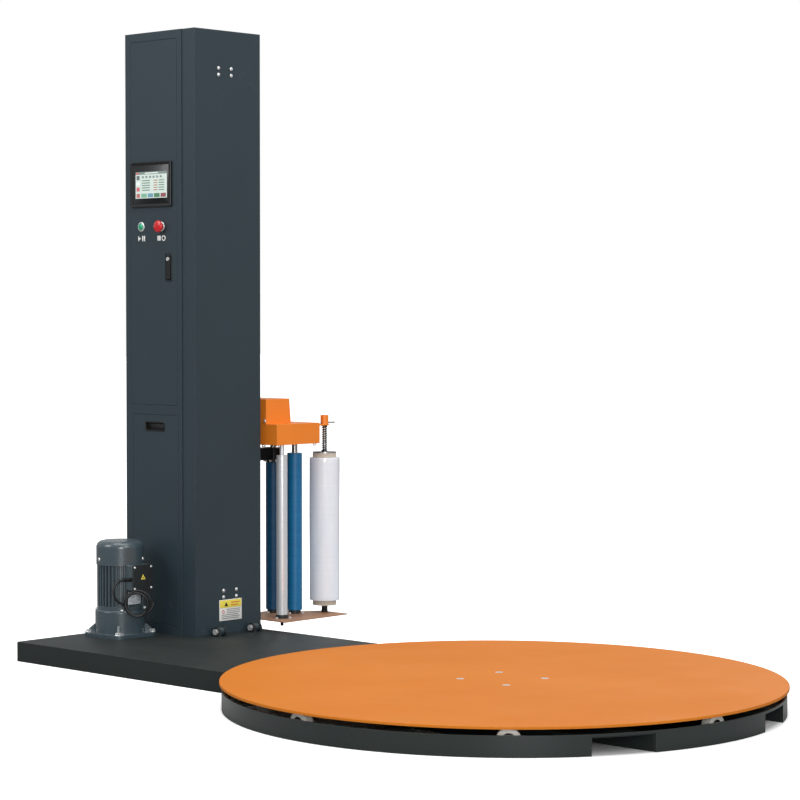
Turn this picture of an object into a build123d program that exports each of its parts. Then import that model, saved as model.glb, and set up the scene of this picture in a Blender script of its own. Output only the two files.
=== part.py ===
from build123d import *
from math import acos, atan2, cos, degrees, hypot, pi, radians, sin, tan
import os

# Turntable pallet wrapper. Millimetres, +Z up, origin on the floor under the turntable axis.
# The mast stands at -X, the film carriage runs on the +Y side of the mast.

# ---- turntable and its ring -------------------------------------------------
DISC_R = 825.0           # turntable plate radius
DISC_TOP = 83.0          # loading height
DISC_T = 8.0             # plate thickness
SCREW_PITCH = 175.0      # square of the four centre screws
SCREW_D = 12.0
RING_INSET = 6.4         # the plate's edge past the skirt ring
RING_R = DISC_R - RING_INSET
RING_T = 6.0
RING_H = 58.0
FLOOR_T = 5.0            # floor plate
SPIDER_T = 6.0
SPIDER_W = 60.0
SPIDER_TOP = 57.0
PIVOT_D = 50.0           # fixed pin in the middle of the turntable
PIVOT_FLANGE_D = 150.0
PIVOT_FLANGE_T = 7.0
HUB_D = 92.0
HUB_FLANGE_D = 300.0
HUB_FLANGE_T = 10.0
RUN_FIT = 0.05           # radial clearance of a turning fit
BODY_GAP = 0.3           # gap between curved faces of pieces that pass each other

# ---- support wheels -----------------------------------------------------------
WHEEL_D = 68.0
WHEEL_W = 28.0
WHEEL_SET_IN = 23.6      # outside of the skirt ring to the outer wheel face
WHEEL_FACE_R = RING_R - WHEEL_SET_IN
WHEEL_HUB_D = 40.0
WHEEL_AXLE_D = 14.0
WHEEL_STATIONS = 8
WHEEL_PHASE = -3.8       # degrees, first station from +X
CHAIN_STATION = 4        # this station is left free for the drive chain
CHEEK_T = 5.0
CHEEK_OVER = 9.3         # cheek's top above the axle's middle
CHEEK_W = 40.0
CHEEK_GAP = 4.5          # wheel face to cheek, filled by the axle's collars

# ---- fork tunnels ---------------------------------------------------------------
FORK_W = 164.0
FORK_PITCH = 615.0
FORK_MID_Y = -62.5       # middle of the pair
FORK_TOP = 51.0
FORK_WALL = 4.0
FORK_END_X = -300.0

# ---- base box -------------------------------------------------------------------
BASE_END_X = -1755.5
BASE_HALF_W = 391.0
BASE_H = 65.0
BASE_WALL = 4.0
BASE_TOP_T = 5.0

# ---- turntable drive --------------------------------------------------------------
MOTOR_X, MOTOR_Y = -1632.0, -50.0
CHAIN_PITCH = 19.05
DRIVEN_TEETH = 41
DRIVE_TEETH = 14
SPROCKET_T = 10.0
SPROCKET_Z = 29.0        # middle of both sprockets
CHAIN_HALF_W = 6.0
CHAIN_PLATE_T = 2.5
CHAIN_PLATE_GAP = 0.5
OUTPUT_SHAFT_D = 30.0
FOOT_SIZE = 190.0
FOOT_T = 12.0
FOOT_BOLT_PITCH = 150.0
GEAR_D = 168.0
GEAR_TOP = 156.0
GUSSET_T = 8.0
GUSSET_RISE = 28.0       # on the foot, where it meets the gear case
GUSSET_OUT = 114.0       # its tip, from the motor axis
FRAME_D = 155.0          # over the fins
FIN_DEPTH = 8.0
FIN_COUNT = 36
FRAME_TOP = 315.0
COWL_OVER = 2.5          # cowl past the fins, all round
COWL_D = FRAME_D + 2 * COWL_OVER
COWL_TOP = 385.0
COWL_T = 2.0
COWL_LAP = 10.0
FAN_D = 128.0
ROTOR_SHAFT_D = 14.0
BOX_SINK = 7.5           # back of the terminal box, in from the fin tips it is hollowed for
BOX_DEPTH = 38.0
BOX_LID_X = FRAME_D / 2 - BOX_SINK + BOX_DEPTH  # lid's face, out from the motor axis
BOX_SIDE = 6.0           # box's middle past the motor axis, along Y
BOX_COWL_GAP = 1.0
GLAND_IN = 12.5          # lid's face to the glands' middle
BOX_LID_T = 4.0
BOX_W = 86.0
BOX_Z0, BOX_Z1 = 222.0, 309.0
GLAND_Z = 262.0
GLAND_D = 15.0
GLAND_L = 26.0
LOW_GLAND_Y = -36.5
LOW_GLAND_L = 18.0
CABLE_D = 7.0
COIL_MID = (-1492.0, -96.7, 185.0)
COIL_FACING = (0.687, -0.727, 0.0)
COIL_R = 41.0            # to the middle of the coil's section
COIL_SECTION_R = 8.0

# ---- mast -----------------------------------------------------------------------------
MAST_X0, MAST_X1 = -1737.5, -1396.0
MAST_Y0, MAST_Y1 = 72.3, 377.3
MAST_TOP = 2087.0
MAST_WALL = 4.0
FRAME_PLATE_T = 4.0      # door frame, stands proud of the column
FRAME_PLATE_X1 = -1458.0
CAP_T = 3.0
FOOT_PLATE_T = 6.0
UPPER_DOOR = (-1712.0, -1480.0, 837.0, 2057.0)
LOWER_COVER = (-1701.0, -1477.0, 97.0, 802.0)
DOOR_T = 3.5
DOOR_GAP = 1.5           # all round a door
DOOR_LIP = 7.0           # column wall behind the door's edge
TRAY_DEPTH = 14.0        # stiffening rim behind a door
TRAY_T = 2.0
TRAY_CLEAR = 2.0
SLOT_X0, SLOT_X1 = -1695.0, -1438.0
SLOT_Z0, SLOT_Z1 = 110.0, 2040.0
RAIL_SIZE = 30.0
RAIL_T = 3.0
PANEL_Y = 200.0
PANEL_T = 4.0
PANEL_Z0, PANEL_Z1 = 900.0, 1880.0
SHELF_Z = 1925.0
SHELF_T = 6.0
HINGE_X, HINGE_Z = -1371.0, 80.0
HINGE_PIN_D = 12.0
HINGE_R = 14.0
HINGE_Y = (163.5, 325.0)  # middle of each hinge
KNUCKLE_W = 17.0
EAR_T = 8.0
EAR_GAP = 1.5

# ---- door fittings ------------------------------------------------------------------------
SCREEN = (-1703.0, -1503.0, 1501.5, 1652.5)
SCREEN_PROUD = 6.0
SCREEN_DEPTH = 34.0
SCREEN_BORDER = 10.0
BUTTON_HOLE_D = 22.4
BUTTON_STEM_D = 21.8
START_X, START_Z = -1657.0, 1436.0
STOP_X, STOP_Z = -1557.0, 1435.0
START_PROUD = 6.0
STOP_HEAD_D = 40.0
STOP_HEAD_T = 11.0
STOP_PROUD = 22.0
BUTTON_BACK = 20.0
LATCH = (-1531.0, -1510.0, 1258.0, 1338.0)
LATCH_PROUD = 3.5
LATCH_T = 7.0
LATCH_CLEAR = 0.6
PULL = (-1638.0, -1547.0, 751.0, 776.0)
PULL_DEPTH = 12.0

# ---- lift --------------------------------------------------------------------------------
LIFT_Y = 300.0
LIFT_X = -1566.5
LIFT_R = 38.0
LIFT_TEETH = 15
LIFT_T = 8.0
LIFT_TOP_Z, LIFT_LOW_Z = 1990.0, 165.0
LIFT_SHAFT_D = 20.0

# ---- film carriage -------------------------------------------------------------------------
TROLLEY = (-1680.0, -1453.0, 352.0, 364.0, 250.0, 640.0)
SHOE_H = 80.0
SHOE_T = 20.0
SHOE_CLEAR = 0.3
BACK = (-1670.0, -1440.0, 399.0, 411.0, 97.0, 850.0)
HOUSING = (-1590.0, -1350.0, 411.0, 619.0, 694.0, 765.0)
SHEET_T = 3.0
TOWER = (-1545.0, -1403.0, 411.0, 531.0, 765.0, 850.0)
TOWER_TAPER = 8.0
FILM_MOTOR_D = 84.0
FILM_MOTOR_X, FILM_MOTOR_Y = -1480.0, 470.0
PLATE_TOP = 97.0
PLATE_T = 4.0
PLATE_OUTLINE = ((-1300, 400), (-1305, 712), (-1430, 712), (-1470, 650),
                 (-1560, 640), (-1560, 411), (-1440, 411), (-1440, 400))
ROLLER_D = 52.0
ROLLER_LOW = 109.5
ROLLER_TOP = 658.0
BLUE_X, BLUE_Y = -1444.0, 590.0
GEAR_MODULE = 2.0
SMALL_TEETH = 23
BIG_TEETH = 57
GEAR_LINE = 205.16       # degrees, from the blue roller to the second one
GEAR_Z0, GEAR_Z1 = 714.0, 726.0
IDLER_D = 38.0
IDLER_X, IDLER_Y = -1380.0, 464.0
ROLLER_SHAFT_D = 20.0
IDLER_SHAFT_D = 16.0
SHAFT_LOW = 84.0
SHAFT_TOP = 730.0
BEARING_D = 42.0
BEARING_T = 12.0
CLUTCH_D = 60.0
CLUTCH_Z0, CLUTCH_Z1 = 626.0, 676.0
FILM_X, FILM_Y = -1400.0, 694.0
FILM_D = 107.0
FILM_Z0, FILM_Z1 = 140.0, 640.0
CORE_D = 83.0
CORE_BORE = 76.2
CORE_Z0, CORE_Z1 = 122.0, 656.0
CHUCK_FLANGE_T = 3.0
CHUCK_PLUG_H = 28.0
FOOT_COLLAR_D = 20.0
FOOT_PIN_D = 12.0
SPINDLE_D = 12.0
SPINDLE_TOP = 771.0
TOP_PLUG_Z = 640.0
TOP_FLANGE_T = 3.5
TONGUE_Z0, TONGUE_Z1 = 752.0, 757.0
TONGUE_R = 16.0
GUIDE_TUBE_D = 28.0
GUIDE_TUBE_TOP = 788.0
CROSS_PIN_D = 6.0
CROSS_PIN_Z = 761.5
CROSS_PIN_BACK, CROSS_PIN_OUT = 18.0, 50.0
SPRING_D = 21.0
SPRING_WIRE = 2.6

# ---- worked-out places ------------------------------------------------------------------------
disc_low = DISC_TOP - DISC_T
wheel_z = disc_low - BODY_GAP - WHEEL_D / 2
ring_in = RING_R - RING_T
driven_r = CHAIN_PITCH / 2 / sin(pi / DRIVEN_TEETH)
drive_r = CHAIN_PITCH / 2 / sin(pi / DRIVE_TEETH)
column_y0 = MAST_Y0 + FRAME_PLATE_T
inside_x0, inside_x1 = MAST_X0 + MAST_WALL, MAST_X1 - MAST_WALL
inside_y1 = MAST_Y1 - MAST_WALL
gear_centres = GEAR_MODULE * (SMALL_TEETH + BIG_TEETH) / 2
dark_x = BLUE_X + gear_centres * cos(radians(GEAR_LINE))
dark_y = BLUE_Y + gear_centres * sin(radians(GEAR_LINE))
fork_mids = (FORK_MID_Y - FORK_PITCH / 2, FORK_MID_Y + FORK_PITCH / 2)
mount_in = WHEEL_FACE_R - WHEEL_W - CHEEK_GAP - CHEEK_T
wheel_angles = [WHEEL_PHASE + k * 360 / WHEEL_STATIONS for k in range(WHEEL_STATIONS) if k != CHAIN_STATION]


def block(x0, x1, y0, y1, z0, z1):
    return Pos((x0 + x1) / 2, (y0 + y1) / 2, (z0 + z1) / 2) * Box(x1 - x0, y1 - y0, z1 - z0)


def post(x, y, z0, z1, d):
    return Pos(x, y, (z0 + z1) / 2) * Cylinder(d / 2, z1 - z0)


def bar_y(x, z, y0, y1, d):
    return Pos(x, (y0 + y1) / 2, z) * Rot(90, 0, 0) * Cylinder(d / 2, y1 - y0)


def slab(points, z0, z1):
    return Pos(0, 0, z0) * extrude(make_face(Polyline(*points, close=True)), z1 - z0)


def toothed(teeth, root_r, tip_r, root_share, tip_share, phase=0.0):
    """Closed outline with straight-sided teeth, as corner points."""
    step = 2 * pi / teeth
    points = []
    for k in range(teeth):
        mid = phase + k * step
        for r, share in ((root_r, -root_share), (tip_r, -tip_share), (tip_r, tip_share), (root_r, root_share)):
            a = mid + share * step / 2
            points.append((r * cos(a), r * sin(a)))
    return points


def radial(angle, radius=0.0, z=0.0):
    """Place of a piece built along +X, turned out to a station on the ring."""
    return Rot(0, 0, angle) * Pos(radius, 0, z)


nodes = {}


def keep(name, *solids):
    nodes[name] = solids[0] if len(solids) == 1 else Compound(children=list(solids))


def box_shell(x0, x1, y0, y1, z0, z1, wall, open_low=False):
    low = z0 - 1 if open_low else z0 + wall
    return block(x0, x1, y0, y1, z0, z1) - block(
        x0 + wall, x1 - wall, y0 + wall, y1 - wall, low, z1 - wall)


# ---- base -------------------------------------------------------------------------------------
def fork_spans():
    return [(mid - FORK_W / 2, mid + FORK_W / 2) for mid in fork_mids]


def chain_window(extra=0.0):
    """Strip that the drive chain needs where it passes the ring."""
    half = drive_r + (driven_r - drive_r) / 2 + CHAIN_HALF_W + 12 + extra
    mid = MOTOR_Y * RING_R / abs(MOTOR_X)
    return mid - half, mid + half


def make_ring():
    ring = post(0, 0, 0, RING_H, 2 * RING_R) - post(0, 0, -1, RING_H + 1, 2 * ring_in)
    for y0, y1 in fork_spans():
        ring -= block(0, RING_R + 5, y0, y1, -1, FORK_TOP)
    y0, y1 = chain_window()
    return ring - block(-RING_R - 5, 0, y0, y1, -1, 46)


def make_floor():
    spans = fork_spans()
    strip = block(-RING_R, RING_R, spans[0][1] + FORK_WALL, spans[1][0] - FORK_WALL, 0, FLOOR_T)
    inside = strip & post(0, 0, 0, FLOOR_T, 2 * ring_in)
    outer = block(BASE_END_X + BASE_WALL, 0, -BASE_HALF_W + BASE_WALL, BASE_HALF_W - BASE_WALL, 0, FLOOR_T)
    outer -= post(0, 0, -1, FLOOR_T + 1, 2 * RING_R)
    y0, y1 = chain_window()
    bridge = block(-RING_R - 1, -ring_in + 10, y0, y1, 0, FLOOR_T)
    pivot = post(0, 0, FLOOR_T, FLOOR_T + PIVOT_FLANGE_T, PIVOT_FLANGE_D)
    pivot += post(0, 0, FLOOR_T, SPIDER_TOP + 3, PIVOT_D)
    floor = inside + outer + bridge + pivot
    for a in wheel_angles:
        floor -= radial(a) * block(mount_in, ring_in + 1, -CHEEK_W / 2, CHEEK_W / 2, -1, FLOOR_T + 1)
    return floor


def make_tunnels():
    solids = []
    end = post(0, 0, -1, RING_H, 2 * ring_in)
    for y0, y1 in fork_spans():
        tunnel = block(FORK_END_X, RING_R, y0 - FORK_WALL, y1 + FORK_WALL, 0, FORK_TOP)
        tunnel -= block(FORK_END_X - 1, RING_R + 1, y0, y1, -1, FORK_TOP - FORK_WALL)
        solids.append(tunnel & end)
    return solids


def make_spider():
    z0 = SPIDER_TOP - SPIDER_T
    spider = post(0, 0, z0, SPIDER_TOP, 250)
    for k in range(WHEEL_STATIONS):
        angle = WHEEL_PHASE + (k + 0.5) * 360 / WHEEL_STATIONS
        spider += Rot(0, 0, angle) * block(60, RING_R, -SPIDER_W / 2, SPIDER_W / 2, z0, SPIDER_TOP)
    spider &= post(0, 0, z0, SPIDER_TOP, 2 * ring_in)
    return spider - post(0, 0, 0, RING_H, HUB_D + 18)


def make_wheel_mount():
    """Bracket and axle of one wheel, along +X, cut to the inside of the ring."""
    face_in = WHEEL_FACE_R - WHEEL_W
    cheek_in = face_in - CHEEK_GAP
    cheek_out = WHEEL_FACE_R + CHEEK_GAP
    half = CHEEK_W / 2
    bracket = block(mount_in, RING_R, -half, half, 0, FLOOR_T)
    for x in (mount_in, cheek_out):
        bracket += block(x, x + CHEEK_T, -half, half, 0, wheel_z + CHEEK_OVER)
    axis = Pos(0, 0, wheel_z) * Rot(0, 90, 0)
    bracket -= Pos(cheek_in, 0, 0) * axis * Cylinder(WHEEL_AXLE_D / 2, 200)
    bracket &= post(0, 0, 0, RING_H, 2 * ring_in)
    axle_in, axle_out = cheek_in - CHEEK_T - 6, cheek_out + CHEEK_T + 3
    axle = Pos((axle_in + axle_out) / 2, 0, 0) * axis * Cylinder(WHEEL_AXLE_D / 2, axle_out - axle_in)
    for x0, x1, d in ((axle_in, cheek_in - CHEEK_T, 22), (cheek_in, face_in, 20),
                      (WHEEL_FACE_R, cheek_out, 20)):
        axle += Pos((x0 + x1) / 2, 0, 0) * axis * Cylinder(d / 2, x1 - x0)
    return bracket, axle


def make_wheel():
    """Tyre and hub of one wheel, along +X."""
    place = Pos(WHEEL_FACE_R - WHEEL_W / 2, 0, wheel_z) * Rot(0, 90, 0)
    tyre = Cylinder(WHEEL_D / 2, WHEEL_W) - Cylinder(WHEEL_HUB_D / 2, WHEEL_W + 2)
    tyre = fillet(tyre.edges().filter_by(GeomType.CIRCLE).sort_by(lambda e: e.radius)[-2:], 3)
    hub = Cylinder(WHEEL_HUB_D / 2, WHEEL_W) - Cylinder(WHEEL_AXLE_D / 2 + RUN_FIT, WHEEL_W + 2)
    return place * tyre, place * hub


def make_hinge_ears():
    ears = None
    for mid in HINGE_Y:
        for side in (-1, 1):
            y_in = mid + side * (KNUCKLE_W / 2 + EAR_GAP)
            y0, y1 = sorted((y_in, y_in + side * EAR_T))
            ear = block(HINGE_X - HINGE_R, HINGE_X + HINGE_R + 4, y0, y1, BASE_H, HINGE_Z)
            ear += bar_y(HINGE_X, HINGE_Z, y0, y1, 2 * HINGE_R + 4)
            ear -= block(HINGE_X - 40, HINGE_X + 40, y0 - 1, y1 + 1, 0, BASE_H)
            ear -= bar_y(HINGE_X, HINGE_Z, y0 - 1, y1 + 1, HINGE_PIN_D)
            ears = ear if ears is None else ears + ear
    return ears


def make_base_box():
    box = block(BASE_END_X, 0, -BASE_HALF_W, BASE_HALF_W, 0, BASE_H)
    box -= block(BASE_END_X + BASE_WALL, 1, -BASE_HALF_W + BASE_WALL, BASE_HALF_W - BASE_WALL,
                 -1, BASE_H - BASE_TOP_T)
    box -= post(0, 0, -1, BASE_H + 1, 2 * RING_R)
    box -= post(MOTOR_X, MOTOR_Y, 0, BASE_H + 1, 2 * drive_r + 24)
    return box + make_hinge_ears()


def make_hinge_pins():
    pins = []
    for mid in HINGE_Y:
        ear_out = KNUCKLE_W / 2 + EAR_GAP + EAR_T
        pin = bar_y(HINGE_X, HINGE_Z, mid - ear_out, mid + ear_out + 6, HINGE_PIN_D)
        head = extrude(RegularPolygon(10.5, 6), 8)
        pin += Pos(HINGE_X, mid - ear_out, HINGE_Z) * Rot(90, 0, 0) * head
        pins.append(pin)
    return pins


keep("skirt_ring", make_ring())
keep("base_floor", make_floor())
keep("fork_tunnels", *make_tunnels())
keep("spider_frame", make_spider())
keep("base_box", make_base_box())
keep("hinge_pins", *make_hinge_pins())
bracket, axle = make_wheel_mount()
tyre, hub = make_wheel()
keep("wheel_mounts", *[radial(a) * piece for a in wheel_angles for piece in (bracket, axle)])
for number, a in enumerate(wheel_angles, start=1):
    keep(f"support_wheel_{number}", radial(a) * tyre, radial(a) * hub)


# ---- turntable ----------------------------------------------------------------------------------
def screw_places():
    return GridLocations(SCREW_PITCH, SCREW_PITCH, 2, 2).locations


def make_disc():
    disc = post(0, 0, disc_low, DISC_TOP, 2 * DISC_R)
    disc = fillet(disc.edges().filter_by(GeomType.CIRCLE).sort_by(Axis.Z)[-1:], 1.5)
    cut = Pos(0, 0, DISC_TOP - 6) * (Cylinder(SCREW_D / 2, 30) + Pos(0, 0, 3) * Cone(SCREW_D / 2, SCREW_D, 6))
    for place in screw_places():
        disc -= place * cut
    return disc


def make_hub():
    hub = post(0, 0, FLOOR_T + PIVOT_FLANGE_T, disc_low, HUB_D)
    hub += post(0, 0, disc_low - HUB_FLANGE_T, disc_low, HUB_FLANGE_D)
    hub -= post(0, 0, 0, SPIDER_TOP + 5, PIVOT_D + 2 * RUN_FIT)
    for place in screw_places():
        hub -= place * post(0, 0, 0, DISC_TOP, SCREW_D)
    return hub


def make_screw():
    shank = post(0, 0, disc_low - HUB_FLANGE_T, DISC_TOP - 6, SCREW_D)
    head = Pos(0, 0, DISC_TOP - 3) * Cone(SCREW_D / 2, SCREW_D, 6)
    socket = extrude(RegularPolygon(4, 6), 10)
    return shank + head - Pos(0, 0, DISC_TOP - 4.5) * socket


def sprocket(teeth, pitch_r, thickness, bore):
    outline = toothed(teeth, pitch_r - 6, pitch_r + 4, 0.62, 0.22)
    return slab(outline, -thickness / 2, thickness / 2) - Cylinder(bore / 2, thickness + 2)


keep("turntable_disc", make_disc())
keep("turntable_hub", make_hub())
keep("disc_screws", *[place * make_screw() for place in screw_places()])
keep("driven_sprocket", Pos(0, 0, SPROCKET_Z) * sprocket(DRIVEN_TEETH, driven_r, SPROCKET_T, HUB_D))


# ---- turntable drive ----------------------------------------------------------------------------
def tangent_loop(r_far, r_near, z0, z1, far=(0.0, 0.0), near=(MOTOR_X, MOTOR_Y)):
    """Two round ends joined by their outer tangents."""
    dx, dy = near[0] - far[0], near[1] - far[1]
    base = atan2(dy, dx)
    spread = acos((r_far - r_near) / hypot(dx, dy))
    corners = []
    for side in (1, -1):
        a = base + side * spread
        pair = [(far[0] + r_far * cos(a), far[1] + r_far * sin(a)),
                (near[0] + r_near * cos(a), near[1] + r_near * sin(a))]
        corners += pair if side == 1 else pair[::-1]
    body = slab(corners, z0, z1) + post(*far, z0, z1, 2 * r_far) + post(*near, z0, z1, 2 * r_near)
    return body, corners


def make_drive_chain():
    half = SPROCKET_T / 2 + CHAIN_PLATE_GAP
    chain = None
    for low in (SPROCKET_Z - half - CHAIN_PLATE_T, SPROCKET_Z + half):
        outer, _ = tangent_loop(driven_r + CHAIN_HALF_W, drive_r + CHAIN_HALF_W, low, low + CHAIN_PLATE_T)
        inner, _ = tangent_loop(driven_r - CHAIN_HALF_W, drive_r - CHAIN_HALF_W, low - 1, low + CHAIN_PLATE_T + 1)
        band = outer - inner
        chain = band if chain is None else chain + band
    _, pitch_line = tangent_loop(driven_r, drive_r, 0, 1)
    first, last = 3, 78
    for a, b in (pitch_line[:2], pitch_line[2:]):
        run = hypot(b[0] - a[0], b[1] - a[1])
        for k in range(first, last, 2):
            t = k * CHAIN_PITCH / run
            if 0.03 < t < 0.97:
                x, y = a[0] + (b[0] - a[0]) * t, a[1] + (b[1] - a[1]) * t
                chain += post(x, y, SPROCKET_Z - half, SPROCKET_Z + half, 7)
    return chain


def make_gearbox():
    foot = Pos(MOTOR_X, MOTOR_Y, BASE_H) * extrude(RectangleRounded(FOOT_SIZE, FOOT_SIZE, 38), FOOT_T)
    body = post(MOTOR_X, MOTOR_Y, BASE_H, GEAR_TOP, GEAR_D)
    body = fillet(body.edges().filter_by(GeomType.CIRCLE).sort_by(Axis.Z)[-1:], 8)
    box = foot + body
    inner = GEAR_D / 2 - 10
    side = ((inner, FOOT_T - 1), (GUSSET_OUT, FOOT_T - 1), (GUSSET_OUT, FOOT_T + 3),
            (GEAR_D / 2 + 2, FOOT_T + GUSSET_RISE), (inner, FOOT_T + GUSSET_RISE))
    rib = Rot(90, 0, 0) * slab(side, -GUSSET_T / 2, GUSSET_T / 2)
    for k in range(4):
        box += Pos(MOTOR_X, MOTOR_Y, BASE_H) * Rot(0, 0, 45 + 90 * k) * rib
    for place in GridLocations(FOOT_BOLT_PITCH, FOOT_BOLT_PITCH, 2, 2).locations:
        box += Pos(MOTOR_X, MOTOR_Y, 0) * place * post(0, 0, BASE_H + FOOT_T, BASE_H + FOOT_T + 8, 18)
    return box - post(MOTOR_X, MOTOR_Y, BASE_H - 1, BASE_H + 50, OUTPUT_SHAFT_D + 2 * RUN_FIT)


def make_motor_body():
    outline = toothed(FIN_COUNT, FRAME_D / 2 - FIN_DEPTH, FRAME_D / 2, 0.55, 0.38)
    low, high = GEAR_TOP + 12, FRAME_TOP - COWL_LAP
    body = Pos(MOTOR_X, MOTOR_Y, 0) * slab(outline, low, high)
    body += post(MOTOR_X, MOTOR_Y, GEAR_TOP, low, FRAME_D)
    body += post(MOTOR_X, MOTOR_Y, high, FRAME_TOP, FRAME_D - 4)
    return body - post(MOTOR_X, MOTOR_Y, FRAME_TOP - 30, FRAME_TOP + 1, ROTOR_SHAFT_D + 2 * RUN_FIT)


def make_cowl():
    low = FRAME_TOP - COWL_LAP
    outer = post(0, 0, low, COWL_TOP, COWL_D)
    outer = fillet(outer.edges().filter_by(GeomType.CIRCLE).sort_by(Axis.Z)[-1:], 22)
    inner = post(0, 0, low - 1, COWL_TOP - COWL_T, COWL_D - 2 * COWL_T)
    inner = fillet(inner.edges().filter_by(GeomType.CIRCLE).sort_by(Axis.Z)[-1:], 20)
    cowl = outer - inner
    cowl += post(0, 0, low, low + 4, COWL_D) - post(0, 0, low - 1, low + 5, FRAME_D - 4)
    for ring_r, count in ((20, 8), (34, 12), (48, 18)):
        for place in PolarLocations(ring_r, count).locations:
            cowl -= place * post(0, 0, COWL_TOP - 8, COWL_TOP + 1, 7)
    return Pos(MOTOR_X, MOTOR_Y, 0) * cowl


def make_fan():
    z0, z1 = FRAME_TOP + 22, FRAME_TOP + 50
    fan = post(0, 0, FRAME_TOP - 28, z1, ROTOR_SHAFT_D) + post(0, 0, z0, z1, 34)
    fan += post(0, 0, z0, z0 + 3, FAN_D - 20)
    for k in range(8):
        fan += Rot(0, 0, 45 * k) * block(12, FAN_D / 2, -1.2, 1.2, z0, z1)
    return Pos(MOTOR_X, MOTOR_Y, 0) * fan


def make_terminal_box():
    x1 = MOTOR_X + BOX_LID_X - BOX_LID_T
    x0 = x1 - (BOX_DEPTH - BOX_LID_T)
    mid = MOTOR_Y + BOX_SIDE
    box = block(x0, x1, mid - BOX_W / 2, mid + BOX_W / 2, BOX_Z0, BOX_Z1)
    box = fillet(box.edges().filter_by(Axis.X), 6)
    neck = block(MOTOR_X, x0 + 1, MOTOR_Y - 32, MOTOR_Y + 32, BOX_Z0 + 12, FRAME_TOP - 14)
    box = box + neck - post(MOTOR_X, MOTOR_Y, 0, FRAME_TOP, FRAME_D)
    box -= post(MOTOR_X, MOTOR_Y, FRAME_TOP - COWL_LAP - BOX_COWL_GAP, FRAME_TOP, COWL_D + 2 * BOX_COWL_GAP)
    lid = block(x1, x1 + BOX_LID_T, mid - BOX_W / 2, mid + BOX_W / 2, BOX_Z0, BOX_Z1)
    return box, fillet(lid.edges().filter_by(Axis.X), 6)


def gland_place():
    return MOTOR_X + BOX_LID_X - GLAND_IN, MOTOR_Y + BOX_SIDE - BOX_W / 2, GLAND_Z


def make_gland(length):
    """Cable gland standing on the XY plane, its cable leaving upwards."""
    gland = extrude(RegularPolygon(GLAND_D / 2, 6), 8) + post(0, 0, 8, length - 6, GLAND_D - 2)
    gland += post(0, 0, length - 6, length, GLAND_D - 4.5)
    return gland - post(0, 0, 4, length + 1, CABLE_D)


def make_glands():
    x, y, z = gland_place()
    side = Pos(x, y, z) * Rot(90, 0, 0) * make_gland(GLAND_L)
    low = Pos(x, LOW_GLAND_Y, BOX_Z0) * Rot(180, 0, 0) * make_gland(LOW_GLAND_L)
    return side, low


def cable_tube(points):
    """Round tube along straight runs joined by tangent arcs."""
    vectors = [Vector(*p) for p in points]
    radii = []
    for a, b, c in zip(vectors, vectors[1:], vectors[2:]):
        turn = radians((b - a).get_angle(c - b))
        radii.append(0.45 * min((b - a).length, (c - b).length) / tan(turn / 2))
    path = FilletPolyline(*points, radius=radii)
    start = Plane(origin=points[0], z_dir=vectors[1] - vectors[0])
    tube = sweep(start * Circle(CABLE_D / 2), path=path)
    share = tube.volume / (pi * CABLE_D ** 2 / 4 * path.length)
    print("cable length", round(path.length), "radii", [round(r) for r in radii], "volume share", round(share, 4))
    return tube


gland_x, gland_y, gland_z = gland_place()
UPPER_LEAD = [(gland_x, gland_y - 5, gland_z), (gland_x, -127, gland_z), (-1537.5, -149, 255), (-1538.5, -161, 237),
              (-1538, -160, 215), (-1533.5, -147.5, 192), (-1520.5, -124.5, 172)]
LOWER_LEAD = [(-1477.5, -82.5, 150), (-1464, -69.5, 160), (-1459, -57, 178), (-1471, -46, 191),
              (-1499, -41, 194), (-1526, -38, 201), (gland_x, LOW_GLAND_Y, BOX_Z0 - 5)]


def make_coil():
    return Plane(origin=COIL_MID, z_dir=COIL_FACING) * Torus(COIL_R, COIL_SECTION_R)


def make_drive_sprocket():
    wheel = Pos(MOTOR_X, MOTOR_Y, SPROCKET_Z) * sprocket(DRIVE_TEETH, drive_r, SPROCKET_T, OUTPUT_SHAFT_D - 1)
    wheel += post(MOTOR_X, MOTOR_Y, SPROCKET_Z + SPROCKET_T / 2, BASE_H - BASE_TOP_T - 4, OUTPUT_SHAFT_D + 16)
    return wheel + post(MOTOR_X, MOTOR_Y, FLOOR_T + 5, BASE_H + 48, OUTPUT_SHAFT_D)


keep("drive_chain", make_drive_chain())
keep("drive_sprocket", make_drive_sprocket())
keep("gearbox", make_gearbox())
keep("motor_body", make_motor_body())
keep("fan_cowl", make_cowl())
keep("motor_fan", make_fan())
keep("terminal_box", *make_terminal_box())
keep("cable_glands", *make_glands())
keep("motor_lead_upper", cable_tube(UPPER_LEAD))
keep("motor_lead_coil", make_coil())
keep("motor_lead_lower", cable_tube(LOWER_LEAD))


# ---- mast -------------------------------------------------------------------------------------------
def door_hole(door, y0, y1, grow):
    x0, x1, z0, z1 = door
    return block(x0 - grow, x1 + grow, y0, y1, z0 - grow, z1 + grow)


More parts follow.
